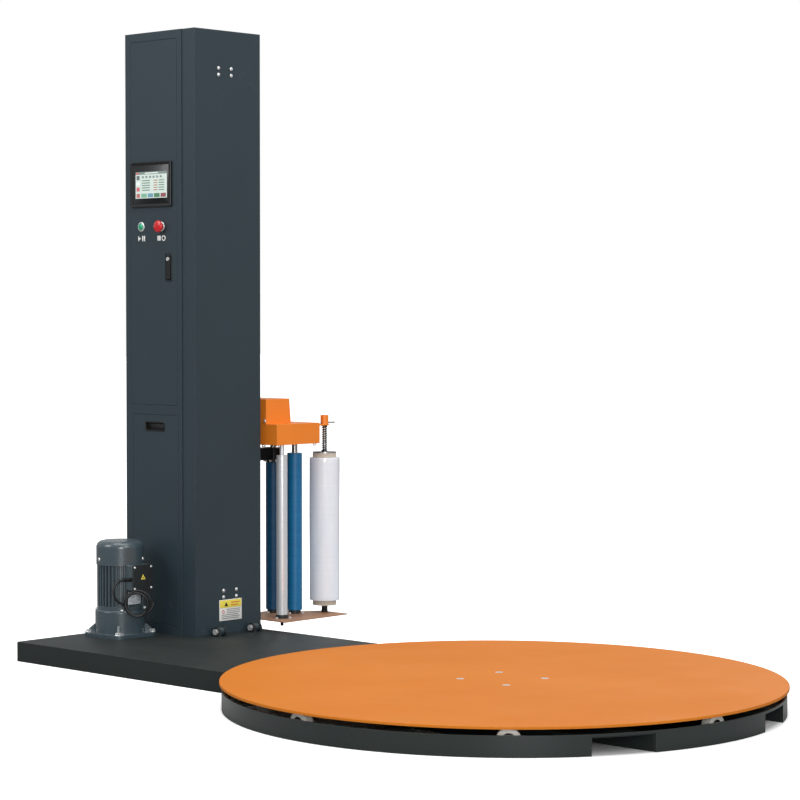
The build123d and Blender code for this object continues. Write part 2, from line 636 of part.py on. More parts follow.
def make_column():
    top = MAST_TOP - CAP_T
    column = block(MAST_X0, MAST_X1, column_y0, MAST_Y1, BASE_H, top)
    column -= block(inside_x0, inside_x1, column_y0 + MAST_WALL, inside_y1, BASE_H + FOOT_PLATE_T, top + 1)
    for door in (UPPER_DOOR, LOWER_COVER):
        column -= door_hole(door, column_y0 - 1, column_y0 + MAST_WALL + 1, -DOOR_LIP)
    column -= block(SLOT_X0, SLOT_X1, inside_y1 - 1, MAST_Y1 + 1, SLOT_Z0, SLOT_Z1)
    column += block(inside_x0, inside_x1, 150, 282, SHELF_Z, SHELF_Z + SHELF_T)
    column += block(LIFT_X - 25, LIFT_X + 25, 312, 322, BASE_H, LIFT_LOW_Z + 20)
    column += bar_y(LIFT_X, LIFT_LOW_Z, LIFT_Y - LIFT_T, 316, LIFT_SHAFT_D)
    for mid in HINGE_Y:
        y0, y1 = mid - KNUCKLE_W / 2, mid + KNUCKLE_W / 2
        knuckle = block(MAST_X1 - 1, HINGE_X, y0, y1, HINGE_Z - 11, HINGE_Z + 11)
        knuckle += bar_y(HINGE_X, HINGE_Z, y0, y1, 2 * HINGE_R)
        column += knuckle - bar_y(HINGE_X, HINGE_Z, y0 - 1, y1 + 1, HINGE_PIN_D + 2 * RUN_FIT)
    return column


def make_door_frame():
    frame = block(MAST_X0, FRAME_PLATE_X1, MAST_Y0, column_y0, BASE_H, MAST_TOP)
    for door in (UPPER_DOOR, LOWER_COVER):
        frame -= door_hole(door, MAST_Y0 - 1, column_y0 + 1, DOOR_GAP)
    return frame


def make_cap():
    cap = block(MAST_X0, MAST_X1, column_y0, MAST_Y1, MAST_TOP - CAP_T, MAST_TOP)
    rim = block(inside_x0 + 1, inside_x1 - 1, column_y0 + MAST_WALL + 1, inside_y1 - 1, MAST_TOP - 18, MAST_TOP - CAP_T)
    return cap + rim - block(inside_x0 + 4, inside_x1 - 4, column_y0 + MAST_WALL + 4, inside_y1 - 4,
                             MAST_TOP - 20, MAST_TOP - CAP_T)


def make_rails():
    rails = []
    for x0 in (inside_x0, inside_x1 - RAIL_SIZE):
        y0 = inside_y1 - RAIL_SIZE
        rail = block(x0, x0 + RAIL_SIZE, y0, inside_y1, BASE_H + FOOT_PLATE_T, MAST_TOP - 20)
        rails.append(rail - block(x0 + RAIL_T, x0 + RAIL_SIZE - RAIL_T, y0 + RAIL_T, inside_y1 - RAIL_T,
                                  BASE_H, MAST_TOP))
    return rails


def make_panel():
    """Mounting plate with a frequency drive, a controller, a supply and a terminal rail."""
    plate = block(inside_x0, inside_x1, PANEL_Y, PANEL_Y + PANEL_T, PANEL_Z0, PANEL_Z1)
    units = ((-1680, -1590, 130, 1150, 1320), (-1560, -1460, 145, 1180, 1300), (-1690, -1600, 150, 1000, 1090),
             (-1680, -1450, 165, 930, 955), (-1570, -1460, 140, 1360, 1450), (-1680, -1600, 140, 1360, 1460))
    for x0, x1, y0, z0, z1 in units:
        plate += block(x0, x1, y0, PANEL_Y, z0, z1)
    return plate


def make_door(door):
    x0, x1, z0, z1 = door
    panel = block(x0, x1, MAST_Y0, MAST_Y0 + DOOR_T, z0, z1)
    inset = DOOR_LIP + TRAY_CLEAR
    y0, y1 = MAST_Y0 + DOOR_T, MAST_Y0 + DOOR_T + TRAY_DEPTH
    rim = door_hole(door, y0, y1, -inset) - door_hole(door, y0 - 1, y1 + 1, -inset - TRAY_T)
    return panel + rim


def make_upper_door():
    door = make_door(UPPER_DOOR)
    for x, z in ((START_X, START_Z), (STOP_X, STOP_Z)):
        door -= bar_y(x, z, MAST_Y0 - 1, MAST_Y0 + DOOR_T + 1, BUTTON_HOLE_D)
    x0, x1, z0, z1 = SCREEN
    door -= block(x0 + 8, x1 - 8, MAST_Y0 - 1, MAST_Y0 + DOOR_T + 1, z0 + 8, z1 - 8)
    x0, x1, z0, z1 = LATCH
    c = LATCH_CLEAR
    return door - block(x0 - c, x1 + c, MAST_Y0 - 1, MAST_Y0 + DOOR_T + 1, z0 - c - 3, z1 + c)


def make_lower_cover():
    x0, x1, z0, z1 = PULL
    cover = make_door(LOWER_COVER)
    cover -= block(x0, x1, MAST_Y0 - 1, MAST_Y0 + DOOR_T + 1, z0, z1)
    cup = block(x0 - 2, x1 + 2, MAST_Y0 + DOOR_T, MAST_Y0 + DOOR_T + PULL_DEPTH, z0 - 2, z1 + 2)
    cup -= block(x0, x1, MAST_Y0, MAST_Y0 + DOOR_T + PULL_DEPTH - 2, z0, z1)
    return cover + cup


def make_screen():
    x0, x1, z0, z1 = SCREEN
    b = SCREEN_BORDER
    front = block(x0, x1, MAST_Y0 - SCREEN_PROUD, MAST_Y0, z0, z1)
    front = fillet(front.edges().filter_by(Axis.Y), 5)
    front -= block(x0 + 2 * b, x1 - 2 * b, MAST_Y0 - SCREEN_PROUD - 1, MAST_Y0 - SCREEN_PROUD + 1.2, z0 + 3 * b, z1 - 2 * b)
    return front + block(x0 + b, x1 - b, MAST_Y0, MAST_Y0 + SCREEN_DEPTH, z0 + b, z1 - b)


def make_latch_handle():
    x0, x1, z0, z1 = LATCH
    handle = block(x0, x1, MAST_Y0 - LATCH_PROUD, MAST_Y0 - LATCH_PROUD + LATCH_T, z0, z1)
    return fillet(handle.edges().filter_by(Axis.Y), 4)


def make_start_button():
    return bar_y(START_X, START_Z, MAST_Y0 - START_PROUD, MAST_Y0 + BUTTON_BACK, BUTTON_STEM_D)


def make_stop_button():
    y0 = MAST_Y0 - STOP_PROUD
    head = bar_y(STOP_X, STOP_Z, y0, y0 + STOP_HEAD_T, STOP_HEAD_D)
    head = fillet(head.edges().filter_by(GeomType.CIRCLE).sort_by(Axis.Y)[:1], 5)
    return head + bar_y(STOP_X, STOP_Z, y0 + STOP_HEAD_T, MAST_Y0 + BUTTON_BACK, BUTTON_STEM_D)


keep("mast_column", make_column())
keep("door_frame", make_door_frame())
keep("mast_cap", make_cap())
keep("guide_rails", *make_rails())
keep("electrical_panel", make_panel())
keep("upper_door", make_upper_door())
keep("lower_cover", make_lower_cover())
keep("touch_screen", make_screen())
keep("latch_handle", make_latch_handle())
keep("start_button", make_start_button())
keep("stop_button", make_stop_button())


# ---- lift -----------------------------------------------------------------------------------------------
def lift_sprocket(z):
    return Pos(LIFT_X, LIFT_Y, z) * Rot(90, 0, 0) * sprocket(LIFT_TEETH, LIFT_R, LIFT_T, LIFT_SHAFT_D + 2 * RUN_FIT)


def make_lift_gearmotor():
    gear = block(LIFT_X - 48, LIFT_X + 48, 190, LIFT_Y - 18, SHELF_Z + SHELF_T, LIFT_TOP_Z + 50)
    gear += bar_y(LIFT_X, LIFT_TOP_Z - 5, 105, 190, 100)
    return gear - bar_y(LIFT_X, LIFT_TOP_Z, LIFT_Y - 60, LIFT_Y, LIFT_SHAFT_D + 2 * RUN_FIT)


def make_lift_chain():
    half = LIFT_T / 2 + CHAIN_PLATE_GAP
    chain = None
    for y0 in (LIFT_Y - half - 2, LIFT_Y + half):
        band = None
        for grow, y_more in ((5, 0), (-5, 1)):
            r = LIFT_R + grow
            loop = block(LIFT_X - r, LIFT_X + r, y0 - y_more, y0 + 2 + y_more, LIFT_LOW_Z, LIFT_TOP_Z)
            for z in (LIFT_LOW_Z, LIFT_TOP_Z):
                loop += bar_y(LIFT_X, z, y0 - y_more, y0 + 2 + y_more, 2 * r)
            band = loop if band is None else band - loop
        chain = band if chain is None else chain + band
    for side in (-1, 1):
        for k in range(4, 110, 3):
            z = LIFT_LOW_Z + k * 15.875
            if z < LIFT_TOP_Z - 40:
                chain += bar_y(LIFT_X + side * LIFT_R, z, LIFT_Y - half, LIFT_Y + half, 6)
    return chain


def make_top_sprocket():
    wheel = Pos(LIFT_X, LIFT_Y, LIFT_TOP_Z) * Rot(90, 0, 0) * sprocket(LIFT_TEETH, LIFT_R, LIFT_T, LIFT_SHAFT_D - 1)
    return wheel + bar_y(LIFT_X, LIFT_TOP_Z, LIFT_Y - 58, LIFT_Y + 12, LIFT_SHAFT_D)


keep("lift_gearmotor", make_lift_gearmotor())
keep("lift_chain", make_lift_chain())
keep("lift_sprocket_top", make_top_sprocket())
keep("lift_sprocket_low", lift_sprocket(LIFT_LOW_Z))


# ---- film carriage --------------------------------------------------------------------------------------
def make_carriage_frame():
    frame = block(*TROLLEY)
    frame += block(LIFT_X - 40, LIFT_X + 40, TROLLEY[3] - 1, BACK[2] + 1, 380, 480)
    frame += block(LIFT_X + LIFT_R - 12, LIFT_X + LIFT_R + 12, LIFT_Y + LIFT_T / 2 + 3.2, TROLLEY[2] + 1, 420, 450)
    back = block(*BACK)
    for z0, z1 in ((150, 370), (500, 670)):
        back -= block(BACK[0] + 25, BACK[1] - 25, BACK[2] - 1, BACK[3] + 1, z0, z1)
    return frame + back


def make_shoes():
    shoes = []
    rail_left, rail_right = inside_x0 + RAIL_SIZE, inside_x1 - RAIL_SIZE
    y_mid = (TROLLEY[2] + TROLLEY[3]) / 2
    for x0, x1 in ((rail_left + SHOE_CLEAR, TROLLEY[0]), (TROLLEY[1], rail_right - SHOE_CLEAR)):
        for z0 in (TROLLEY[4], TROLLEY[5] - SHOE_H):
            shoes.append(block(x0, x1, y_mid - SHOE_T / 2, y_mid + SHOE_T / 2, z0, z0 + SHOE_H))
    return shoes


def shaft_places():
    return ((BLUE_X, BLUE_Y, ROLLER_SHAFT_D), (dark_x, dark_y, ROLLER_SHAFT_D), (IDLER_X, IDLER_Y, IDLER_SHAFT_D))


def make_housing():
    housing = box_shell(*HOUSING, SHEET_T)
    x0, x1, y0, y1, z0, z1 = HOUSING
    for x, y, d in shaft_places():
        housing -= post(x, y, z0 - 1, z0 + SHEET_T + 1, d + 4)
    return housing


def make_tower():
    x0, x1, y0, y1, z0, z1 = TOWER
    t = SHEET_T
    outline = ((x0, y0, z0), (x0, y1, z0), (x0, y1 - TOWER_TAPER, z1), (x0, y0, z1))
    hollow = ((x0 + t, y0 + t, z0 - 1), (x0 + t, y1 - t, z0 - 1),
              (x0 + t, y1 - t - TOWER_TAPER, z1 - t), (x0 + t, y0 + t, z1 - t))
    outer = extrude(make_face(Polyline(*outline, close=True)), x1 - x0, dir=(1, 0, 0))
    return outer - extrude(make_face(Polyline(*hollow, close=True)), x1 - x0 - 2 * t, dir=(1, 0, 0))


def make_film_motor():
    z0 = HOUSING[5]
    motor = post(FILM_MOTOR_X, FILM_MOTOR_Y, z0, z0 + 70, FILM_MOTOR_D)
    return motor + block(FILM_MOTOR_X - 46, FILM_MOTOR_X + 46, FILM_MOTOR_Y - 46, FILM_MOTOR_Y + 46, z0, z0 + 12)


def make_bottom_plate():
    plate = slab(PLATE_OUTLINE, PLATE_TOP - PLATE_T, PLATE_TOP)
    for x, y, d in shaft_places():
        plate -= post(x, y, 0, PLATE_TOP + 1, d + 4)
    plate += post(FILM_X, FILM_Y, PLATE_TOP - PLATE_T, CORE_Z0, FOOT_COLLAR_D)
    return plate + post(FILM_X, FILM_Y, CORE_Z0, CORE_Z0 + CHUCK_PLUG_H, FOOT_PIN_D)


def make_bearings():
    solids = []
    for x, y, d in shaft_places():
        for z0 in (PLATE_TOP, HOUSING[4] + SHEET_T):
            solids.append(post(x, y, z0, z0 + BEARING_T, BEARING_D) - post(x, y, z0 - 1, z0 + BEARING_T + 1, d + 2 * RUN_FIT))
    return solids


def gear(teeth, phase=0.0):
    r = GEAR_MODULE * teeth / 2
    return toothed(teeth, r - 1.3 * GEAR_MODULE, r + 0.7 * GEAR_MODULE, 0.62, 0.2, phase)


def make_roller(x, y, top, teeth, phase):
    roller = post(x, y, ROLLER_LOW, top, ROLLER_D)
    roller = fillet(roller.edges().filter_by(GeomType.CIRCLE), 1.5)
    roller += post(x, y, SHAFT_LOW, SHAFT_TOP, ROLLER_SHAFT_D)
    wheel = Pos(x, y, 0) * (slab(gear(teeth, phase), GEAR_Z0, GEAR_Z1) - post(0, 0, GEAR_Z0 - 1, GEAR_Z1 + 1, ROLLER_SHAFT_D))
    return roller, wheel


def make_idler():
    return post(IDLER_X, IDLER_Y, ROLLER_LOW, ROLLER_TOP, IDLER_D) + post(
        IDLER_X, IDLER_Y, SHAFT_LOW, HOUSING[4] + SHEET_T + BEARING_T, IDLER_SHAFT_D)


def make_clutch():
    clutch = post(dark_x, dark_y, CLUTCH_Z0, CLUTCH_Z1, CLUTCH_D)
    arm = block(dark_x - 22, dark_x + 22, BACK[3], dark_y, CLUTCH_Z0 + 8, CLUTCH_Z1)
    return clutch + arm - post(dark_x, dark_y, CLUTCH_Z0 - 1, CLUTCH_Z1 + 1, ROLLER_SHAFT_D + 2 * RUN_FIT)


def make_core():
    core = post(FILM_X, FILM_Y, CORE_Z0, CORE_Z1, CORE_D)
    core -= post(FILM_X, FILM_Y, CORE_Z0 + CHUCK_FLANGE_T + CHUCK_PLUG_H, CORE_Z1 + 1, CORE_BORE)
    return core - post(FILM_X, FILM_Y, CORE_Z0 - 1, CORE_Z1, FOOT_PIN_D + 2 * RUN_FIT)


def make_film():
    return post(FILM_X, FILM_Y, FILM_Z0, FILM_Z1, FILM_D) - post(
        FILM_X, FILM_Y, FILM_Z0 - 1, FILM_Z1 + 1, CORE_D)


def make_spindle():
    spindle = post(FILM_X, FILM_Y, TOP_PLUG_Z, CORE_Z1 + BODY_GAP, CORE_BORE - 2 * BODY_GAP)
    spindle += post(FILM_X, FILM_Y, CORE_Z1 + BODY_GAP, CORE_Z1 + BODY_GAP + TOP_FLANGE_T, CORE_D - 1)
    spindle += post(FILM_X, FILM_Y, CORE_Z1, SPINDLE_TOP, SPINDLE_D)
    return spindle + bar_y(FILM_X, CROSS_PIN_Z, FILM_Y - CROSS_PIN_BACK, FILM_Y + CROSS_PIN_OUT, CROSS_PIN_D)


def make_tongue():
    end_y = HOUSING[3]
    tongue = block(FILM_X - TONGUE_R, FILM_X + TONGUE_R, end_y, FILM_Y, TONGUE_Z0, TONGUE_Z1)
    tongue += post(FILM_X, FILM_Y, TONGUE_Z0, TONGUE_Z1, 2 * TONGUE_R)
    tongue += block(FILM_X - TONGUE_R, FILM_X + TONGUE_R, end_y, end_y + 4, 704, TONGUE_Z1)
    tongue += post(FILM_X, FILM_Y, TONGUE_Z1, GUIDE_TUBE_TOP, GUIDE_TUBE_D)
    tongue -= post(FILM_X, FILM_Y, TONGUE_Z0 - 1, GUIDE_TUBE_TOP + 1, SPINDLE_D + 2 * RUN_FIT)
    half = CROSS_PIN_D / 2 + BODY_GAP
    return tongue - block(FILM_X - half, FILM_X + half, FILM_Y - 20, FILM_Y + 20, TONGUE_Z1, GUIDE_TUBE_TOP + 1)


def make_spring():
    low = CORE_Z1 + BODY_GAP + TOP_FLANGE_T
    return post(FILM_X, FILM_Y, low, TONGUE_Z0, SPRING_D) - post(
        FILM_X, FILM_Y, low - 1, TONGUE_Z0 + 1, SPRING_D - 2 * SPRING_WIRE)


line = radians(GEAR_LINE)
keep("carriage_frame", make_carriage_frame())
keep("guide_shoes", *make_shoes())
keep("gear_housing", make_housing())
keep("tower_cover", make_tower())
keep("film_motor", make_film_motor())
keep("bottom_plate", make_bottom_plate())
keep("roller_bearings", *make_bearings())
keep("stretch_roller_front", *make_roller(BLUE_X, BLUE_Y, ROLLER_TOP, SMALL_TEETH, line))
keep("stretch_roller_rear", *make_roller(dark_x, dark_y, CLUTCH_Z0 - 2, BIG_TEETH, line + pi + pi / BIG_TEETH))
keep("idler_roller", make_idler())
keep("roller_clutch", make_clutch())
keep("film_core", make_core())
keep("film_wrap", make_film())
keep("film_spindle", make_spindle())
keep("spindle_bracket", make_tongue())
keep("spindle_spring", make_spring())

os.makedirs("parts", exist_ok=True)
for name, shape in nodes.items():
    shape.label = name
    export_step(shape, f"parts/{name}.step")
print(len(nodes), "nodes")
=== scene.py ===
import math
import bmesh
import bpy
import numpy as np
from mathutils import Matrix, Vector


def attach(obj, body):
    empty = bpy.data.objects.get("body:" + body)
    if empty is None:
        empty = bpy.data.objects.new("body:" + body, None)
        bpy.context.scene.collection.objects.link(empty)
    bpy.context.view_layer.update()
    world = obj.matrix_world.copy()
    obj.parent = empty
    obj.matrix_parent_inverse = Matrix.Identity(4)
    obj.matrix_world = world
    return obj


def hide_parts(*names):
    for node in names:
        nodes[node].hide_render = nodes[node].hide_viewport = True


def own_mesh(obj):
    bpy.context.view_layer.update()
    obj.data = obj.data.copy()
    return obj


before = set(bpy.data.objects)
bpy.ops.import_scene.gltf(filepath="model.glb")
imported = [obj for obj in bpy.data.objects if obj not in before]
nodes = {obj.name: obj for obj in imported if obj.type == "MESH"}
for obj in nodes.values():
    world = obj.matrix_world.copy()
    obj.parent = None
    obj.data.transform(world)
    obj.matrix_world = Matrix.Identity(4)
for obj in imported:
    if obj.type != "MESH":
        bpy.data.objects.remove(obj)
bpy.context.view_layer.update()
scene = bpy.context.scene
print("frame loaded,", len(nodes), "nodes")

# camera: turn from +Y, look down and lens in degrees and millimetres
view = {"place": (4.589, -5.456, 1.161), "turn": 43.417, "down": 2.14, "lens": 110.43, "shift": 0.0504}


def placeCamera(view):
    turn, down = math.radians(view["turn"]), math.radians(view["down"])
    ahead = Vector((-math.sin(turn) * math.cos(down), math.cos(turn) * math.cos(down), -math.sin(down)))
    right = Vector((math.cos(turn), math.sin(turn), 0))
    up = right.cross(ahead)
    data = bpy.data.cameras.new("studioCamera")
    data.lens, data.sensor_width, data.shift_x = view["lens"], 36, view["shift"]
    data.clip_end = 200
    camera = bpy.data.objects.new("studioCamera", data)
    axes = Matrix((right, up, -ahead)).transposed().to_4x4()
    camera.matrix_world = Matrix.Translation(view["place"]) @ axes
    scene.collection.objects.link(camera)
    scene.camera = camera


placeCamera(view)

# motor cable: out of the side gland, loose turns below the terminal box, back into the gland under it
cable = {
    "diameter": 0.007,
    "out": ((-1.5365, -0.092, 0.262), (-1.5365, -0.127, 0.262), (-1.5375, -0.149, 0.255),
            (-1.5385, -0.161, 0.237), (-1.538, -0.160, 0.215), (-1.5335, -0.1475, 0.192)),
    "back": ((-1.4775, -0.0825, 0.150), (-1.464, -0.0695, 0.160), (-1.459, -0.057, 0.178),
             (-1.471, -0.046, 0.191), (-1.499, -0.041, 0.194), (-1.526, -0.038, 0.201),
             (-1.5365, -0.0365, 0.217)),
    "middle": (-1.492, -0.0967, 0.185), "radius": 0.041, "turns": 2.32, "perTurn": 14,
}


def cablePoints(cable):
    # circle seen from the front, each turn a little wider or tighter and further forward than the one before
    across, forward = np.array((0.727, 0.687, 0)), np.array((0.687, -0.727, 0))
    share = np.arange(int(cable["turns"] * cable["perTurn"])) / cable["perTurn"]
    angle = math.radians(192) + 2 * math.pi * share
    reach = cable["radius"] + 0.0046 * np.sin(2 * math.pi * share * 0.53 - 0.6) - 0.0014 * np.cos(angle * 1.5)
    ahead = -0.0066 + 0.0066 * share + 0.0008 * np.sin(angle * 2)
    turns = (np.array(cable["middle"]) + np.outer(reach * np.cos(angle), across)
             + np.outer(reach * np.sin(angle), (0, 0, 1)) + np.outer(ahead, forward))
    return [*cable["out"], *turns.tolist(), *cable["back"]]


def makeCord(name, points, diameter):
    data = bpy.data.curves.new(name, "CURVE")
    data.dimensions = "3D"
    spline = data.splines.new("NURBS")
    spline.points.add(len(points) - 1)
    spline.points.foreach_set("co", np.column_stack([points, np.ones(len(points))]).ravel())
    spline.order_u = 3
    spline.use_endpoint_u = True
    spline.resolution_u = 6
    # the thickness is on the points, because a curve's box is taken wider by their radius
    spline.points.foreach_set("radius", np.full(len(points), diameter / 2))
    data.bevel_depth, data.bevel_resolution, data.use_fill_caps = 1, 5, True
    cord = bpy.data.objects.new(name, data)
    scene.collection.objects.link(cord)
    return cord


motorCable = makeCord("motorCable", cablePoints(cable), cable["diameter"])
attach(motorCable, "base")
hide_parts("motor_lead_upper", "motor_lead_coil", "motor_lead_lower")
print("camera and motor cable placed")


def addNode(tree, kind, inputs=None, **settings):
    # one shader node: plain values are set on its sockets, sockets are linked to them
    node = tree.nodes.new("ShaderNode" + kind)
    for key, value in settings.items():
        setattr(node, key, value)
    for key, value in (inputs or {}).items():
        if isinstance(value, bpy.types.NodeSocket):
            tree.links.new(value, node.inputs[key])
        else:
            node.inputs[key].default_value = value
    return node


def mixColor(tree, mask, first, second):
    return addNode(tree, "Mix", {0: mask, 6: first, 7: second}, data_type="RGBA").outputs[2]


def mapRange(tree, value, low, high, newLow, newHigh):
    return addNode(tree, "MapRange", {0: value, 1: low, 2: high, 3: newLow, 4: newHigh}).outputs[0]


def product(tree, first, second):
    return addNode(tree, "Math", {0: first, 1: second}, operation="MULTIPLY").outputs[0]


def noise(tree, vector, scale, detail, roughness=0.5):
    inputs = {"Vector": vector, "Scale": scale, "Detail": detail, "Roughness": roughness}
    return addNode(tree, "TexNoise", inputs).outputs


def startGroup(name, inputs, outputs):
    # a group that takes a vector and the inputs, whose start values are numbers or vectors
    group = bpy.data.node_groups.new(name, "ShaderNodeTree")
    group.interface.new_socket(name="Vector", in_out="INPUT", socket_type="NodeSocketVector")
    for title, value in inputs.items():
        kind = "Vector" if isinstance(value, tuple) else "Float"
        socket = group.interface.new_socket(name=title, in_out="INPUT", socket_type="NodeSocket" + kind)
        socket.default_value = value
    for title in outputs:
        group.interface.new_socket(name=title, in_out="OUTPUT", socket_type="NodeSocketFloat")
    entry, leave = group.nodes.new("NodeGroupInput"), group.nodes.new("NodeGroupOutput")
    return group, entry.outputs, leave.inputs


def makePowderGrain():
    # fine orange peel of a sprayed coat, and broad soft patches a metre or so across
    group, given, out = startGroup("powderGrain", {"Scale": 500}, ["Height", "Tone"])
    peel = noise(group, given["Vector"], given["Scale"], 2, 0.6)
    broad = noise(group, given["Vector"], 2.3, 4, 0.55)
    group.links.new(peel[0], out["Height"])
    group.links.new(mapRange(group, broad[0], 0.3, 0.7, 0, 1), out["Tone"])
    return group


def makeEdgeWearAndHighlight():
    # how far the rounded normal leans from the true one, broken up by noise: lighter edges, partly rubbed
    # through and partly a painted highlight along every edge
    group, given, out = startGroup("edgeWearAndHighlight", {"Radius": 0.002, "Breakup": 40}, ["Mask"])
    rounded = addNode(group, "Bevel", {"Radius": given["Radius"]}, samples=4)
    true = addNode(group, "NewGeometry")
    lean = addNode(group, "VectorMath", {0: rounded.outputs[0], 1: true.outputs["Normal"]},
                   operation="DOT_PRODUCT")
    edge = mapRange(group, lean.outputs["Value"], 0.985, 0.80, 0, 1)
    edgeBreakup = noise(group, given["Vector"], given["Breakup"], 5, 0.7)
    group.links.new(product(group, edge, mapRange(group, edgeBreakup[0], 0.42, 0.62, 0.15, 1)), out["Mask"])
    return group


def makeDustFall():
    # faces that look up gather dust, in soft clouds
    group, given, out = startGroup("dustFall", {"Amount": 0.2}, ["Mask"])
    up = addNode(group, "SeparateXYZ", {0: addNode(group, "NewGeometry").outputs["Normal"]})
    clouds = noise(group, given["Vector"], 7, 6, 0.65)
    level = product(group, mapRange(group, up.outputs[2], 0.5, 1, 0, 1),
                    mapRange(group, clouds[0], 0.35, 0.75, 0, 1))
    group.links.new(product(group, level, given["Amount"]), out["Mask"])
    return group


def makeToolLines():
    # noise drawn out along one way, the marks of turning, drawing or brushing
    group, given, out = startGroup("toolLines", {"Stretch": (1, 1, 1)}, ["Height", "Tone"])
    drawn = addNode(group, "VectorMath", {0: given["Vector"], 1: given["Stretch"]}, operation="MULTIPLY")
    fine, slow = noise(group, drawn.outputs[0], 1, 3, 0.7), noise(group, drawn.outputs[0], 0.12, 2)
    group.links.new(fine[0], out["Height"])
    group.links.new(mapRange(group, slow[0], 0.3, 0.7, 0, 1), out["Tone"])
    return group


def makeScuffs():
    # a few thin bent scratches, kept to patches
    group, given, out = startGroup("scuffs", {"Scale": 6, "Amount": 0.5}, ["Mask"])
    bend = noise(group, given["Vector"], 3, 2)
    bent = addNode(group, "VectorMath", {0: given["Vector"], 1: bend["Color"]}, operation="ADD")
    lines = addNode(group, "TexVoronoi", {"Vector": bent.outputs[0], "Scale": given["Scale"]},
                    feature="DISTANCE_TO_EDGE")
    patch = noise(group, given["Vector"], 5, 3)
    mask = product(group, mapRange(group, lines.outputs["Distance"], 0.0, 0.006, 1, 0),
                   mapRange(group, patch[0], 0.55, 0.7, 0, 1))
    group.links.new(product(group, mask, given["Amount"]), out["Mask"])
    return group


grainGroup, wearAndHighlightGroup, dustGroup, linesGroup, scuffGroup = (
    makePowderGrain(), makeEdgeWearAndHighlight(), makeDustFall(), makeToolLines(), makeScuffs())


def place(tree, group, vector, **values):
    node = tree.nodes.new("ShaderNodeGroup")
    node.node_tree = group
    tree.links.new(vector, node.inputs["Vector"])
    for key, value in values.items():
        node.inputs[key.title()].default_value = value
    return node.outputs


def startMaterial(name, middle=(0, 0, 0)):
    material = bpy.data.materials.new(name)
    material.use_nodes = True
    tree = material.node_tree
    tree.nodes.clear()
    end = tree.nodes.new("ShaderNodeOutputMaterial")
    shader = tree.nodes.new("ShaderNodeBsdfPrincipled")
    tree.links.new(shader.outputs[0], end.inputs[0])
    coords = addNode(tree, "TexCoord").outputs["Object"]
    coords = addNode(tree, "Mapping", {0: coords, "Location": [-x for x in middle]}).outputs[0]
    return material, tree, shader, coords


def setShader(shader, **values):
    for key, value in values.items():
        shader.inputs[key.replace("_", " ")].default_value = value


def rgb(*values):
    # screen colour 0 to 255 to the linear colour that shaders want
    v = np.array(values) / 255
    return (*np.where(v < 0.04045, v / 12.92, ((v + 0.055) / 1.055) ** 2.4).tolist(), 1)


def finishSurface(tree, shader, relief, color, rough):
    # relief is height, strength, depth in metres and the radius that edges are rounded by, where they are
    height, strength, depth, *radius = relief
    inputs = {"Height": height, "Strength": strength, "Distance": depth}
    if radius:
        inputs["Normal"] = addNode(tree, "Bevel", {"Radius": radius[0]}, samples=4).outputs[0]
    normal = addNode(tree, "Bump", inputs).outputs[0]
    for socket, value in (("Base Color", color), ("Roughness", rough), ("Normal", normal)):
        tree.links.new(value, shader.inputs[socket])


dustColor = rgb(176, 170, 160)


def makePaint(name, look):
    material, tree, shader, coords = startMaterial(name)
    grain = place(tree, grainGroup, coords, scale=look["grain"])
    wear = place(tree, wearAndHighlightGroup, coords, radius=look["edge"])["Mask"]
    dust = place(tree, dustGroup, coords, amount=look["dust"])["Mask"]
    scuff = place(tree, scuffGroup, coords, amount=look["scuff"])["Mask"]
    color = mixColor(tree, grain["Tone"], look["color"], look["shade"])
    # edges and scuffs take the third colour: scuffs are rubbed paint, the edges partly rubbed paint and
    # partly a painted highlight
    color = mixColor(tree, product(tree, wear, look["wear"]), color, look["worn"])
    color = mixColor(tree, dust, mixColor(tree, scuff, color, look["worn"]), dustColor)
    rough = mapRange(tree, grain["Tone"], 0, 1, look["rough"] - 0.04, look["rough"] + 0.05)
    rough = addNode(tree, "Math", {0: dust, 1: 0.5, 2: rough}, operation="MULTIPLY_ADD",
                    use_clamp=True).outputs[0]
    finishSurface(tree, shader, (grain["Height"], look["bump"], 0.0002, look["round"]), color, rough)
    setShader(shader, Specular_IOR_Level=look["gloss"], Coat_Weight=look["coat"], Coat_Roughness=0.22)
    return material


def makeMetal(name, look):
    material, tree, shader, coords = startMaterial(name, look["middle"])
    lines = place(tree, linesGroup, coords, stretch=look["stretch"])
    wear = place(tree, wearAndHighlightGroup, coords, radius=0.0012)["Mask"]
    color = mixColor(tree, lines["Tone"], look["color"], look["shade"])
    # edges take a light steel colour: partly rubbed metal, partly a painted highlight
    color = mixColor(tree, product(tree, wear, look["wear"]), color, rgb(214, 214, 212))
    low, high = look["rough"] - look["vary"], look["rough"] + look["vary"]
    rough = mapRange(tree, lines["Height"], 0.3, 0.7, low, high)
    finishSurface(tree, shader, (lines["Height"], look["bump"], 0.0001, look["round"]), color, rough)
    setShader(shader, Metallic=look["metal"], Anisotropic=look["anisotropic"])
    return material


def makeMoulded(name, look):
    # plastic, rubber and print: fine speckle in colour, roughness and height
    material, tree, shader, coords = startMaterial(name)
    speck = place(tree, grainGroup, coords, scale=look["grain"])
    dust = place(tree, dustGroup, coords, amount=look["dust"])["Mask"]
    color = mixColor(tree, speck["Height"], look["color"], look["shade"])
    color = mixColor(tree, dust, color, dustColor)
    rough = mapRange(tree, speck["Tone"], 0, 1, look["rough"] - 0.03, look["rough"] + 0.05)
    finishSurface(tree, shader, (speck["Height"], look["bump"], 0.0002, look["round"]), color, rough)
    setShader(shader, Coat_Weight=look["coat"], Coat_Roughness=0.06)
    return material


def readLooks(titles, rows):
    # one look per row: its name, then values under the titles, colours as on screen
    return {name: {title: rgb(*value) if title in ("color", "shade", "worn") else value
                   for title, value in zip(titles.split(), values)} for name, *values in rows}
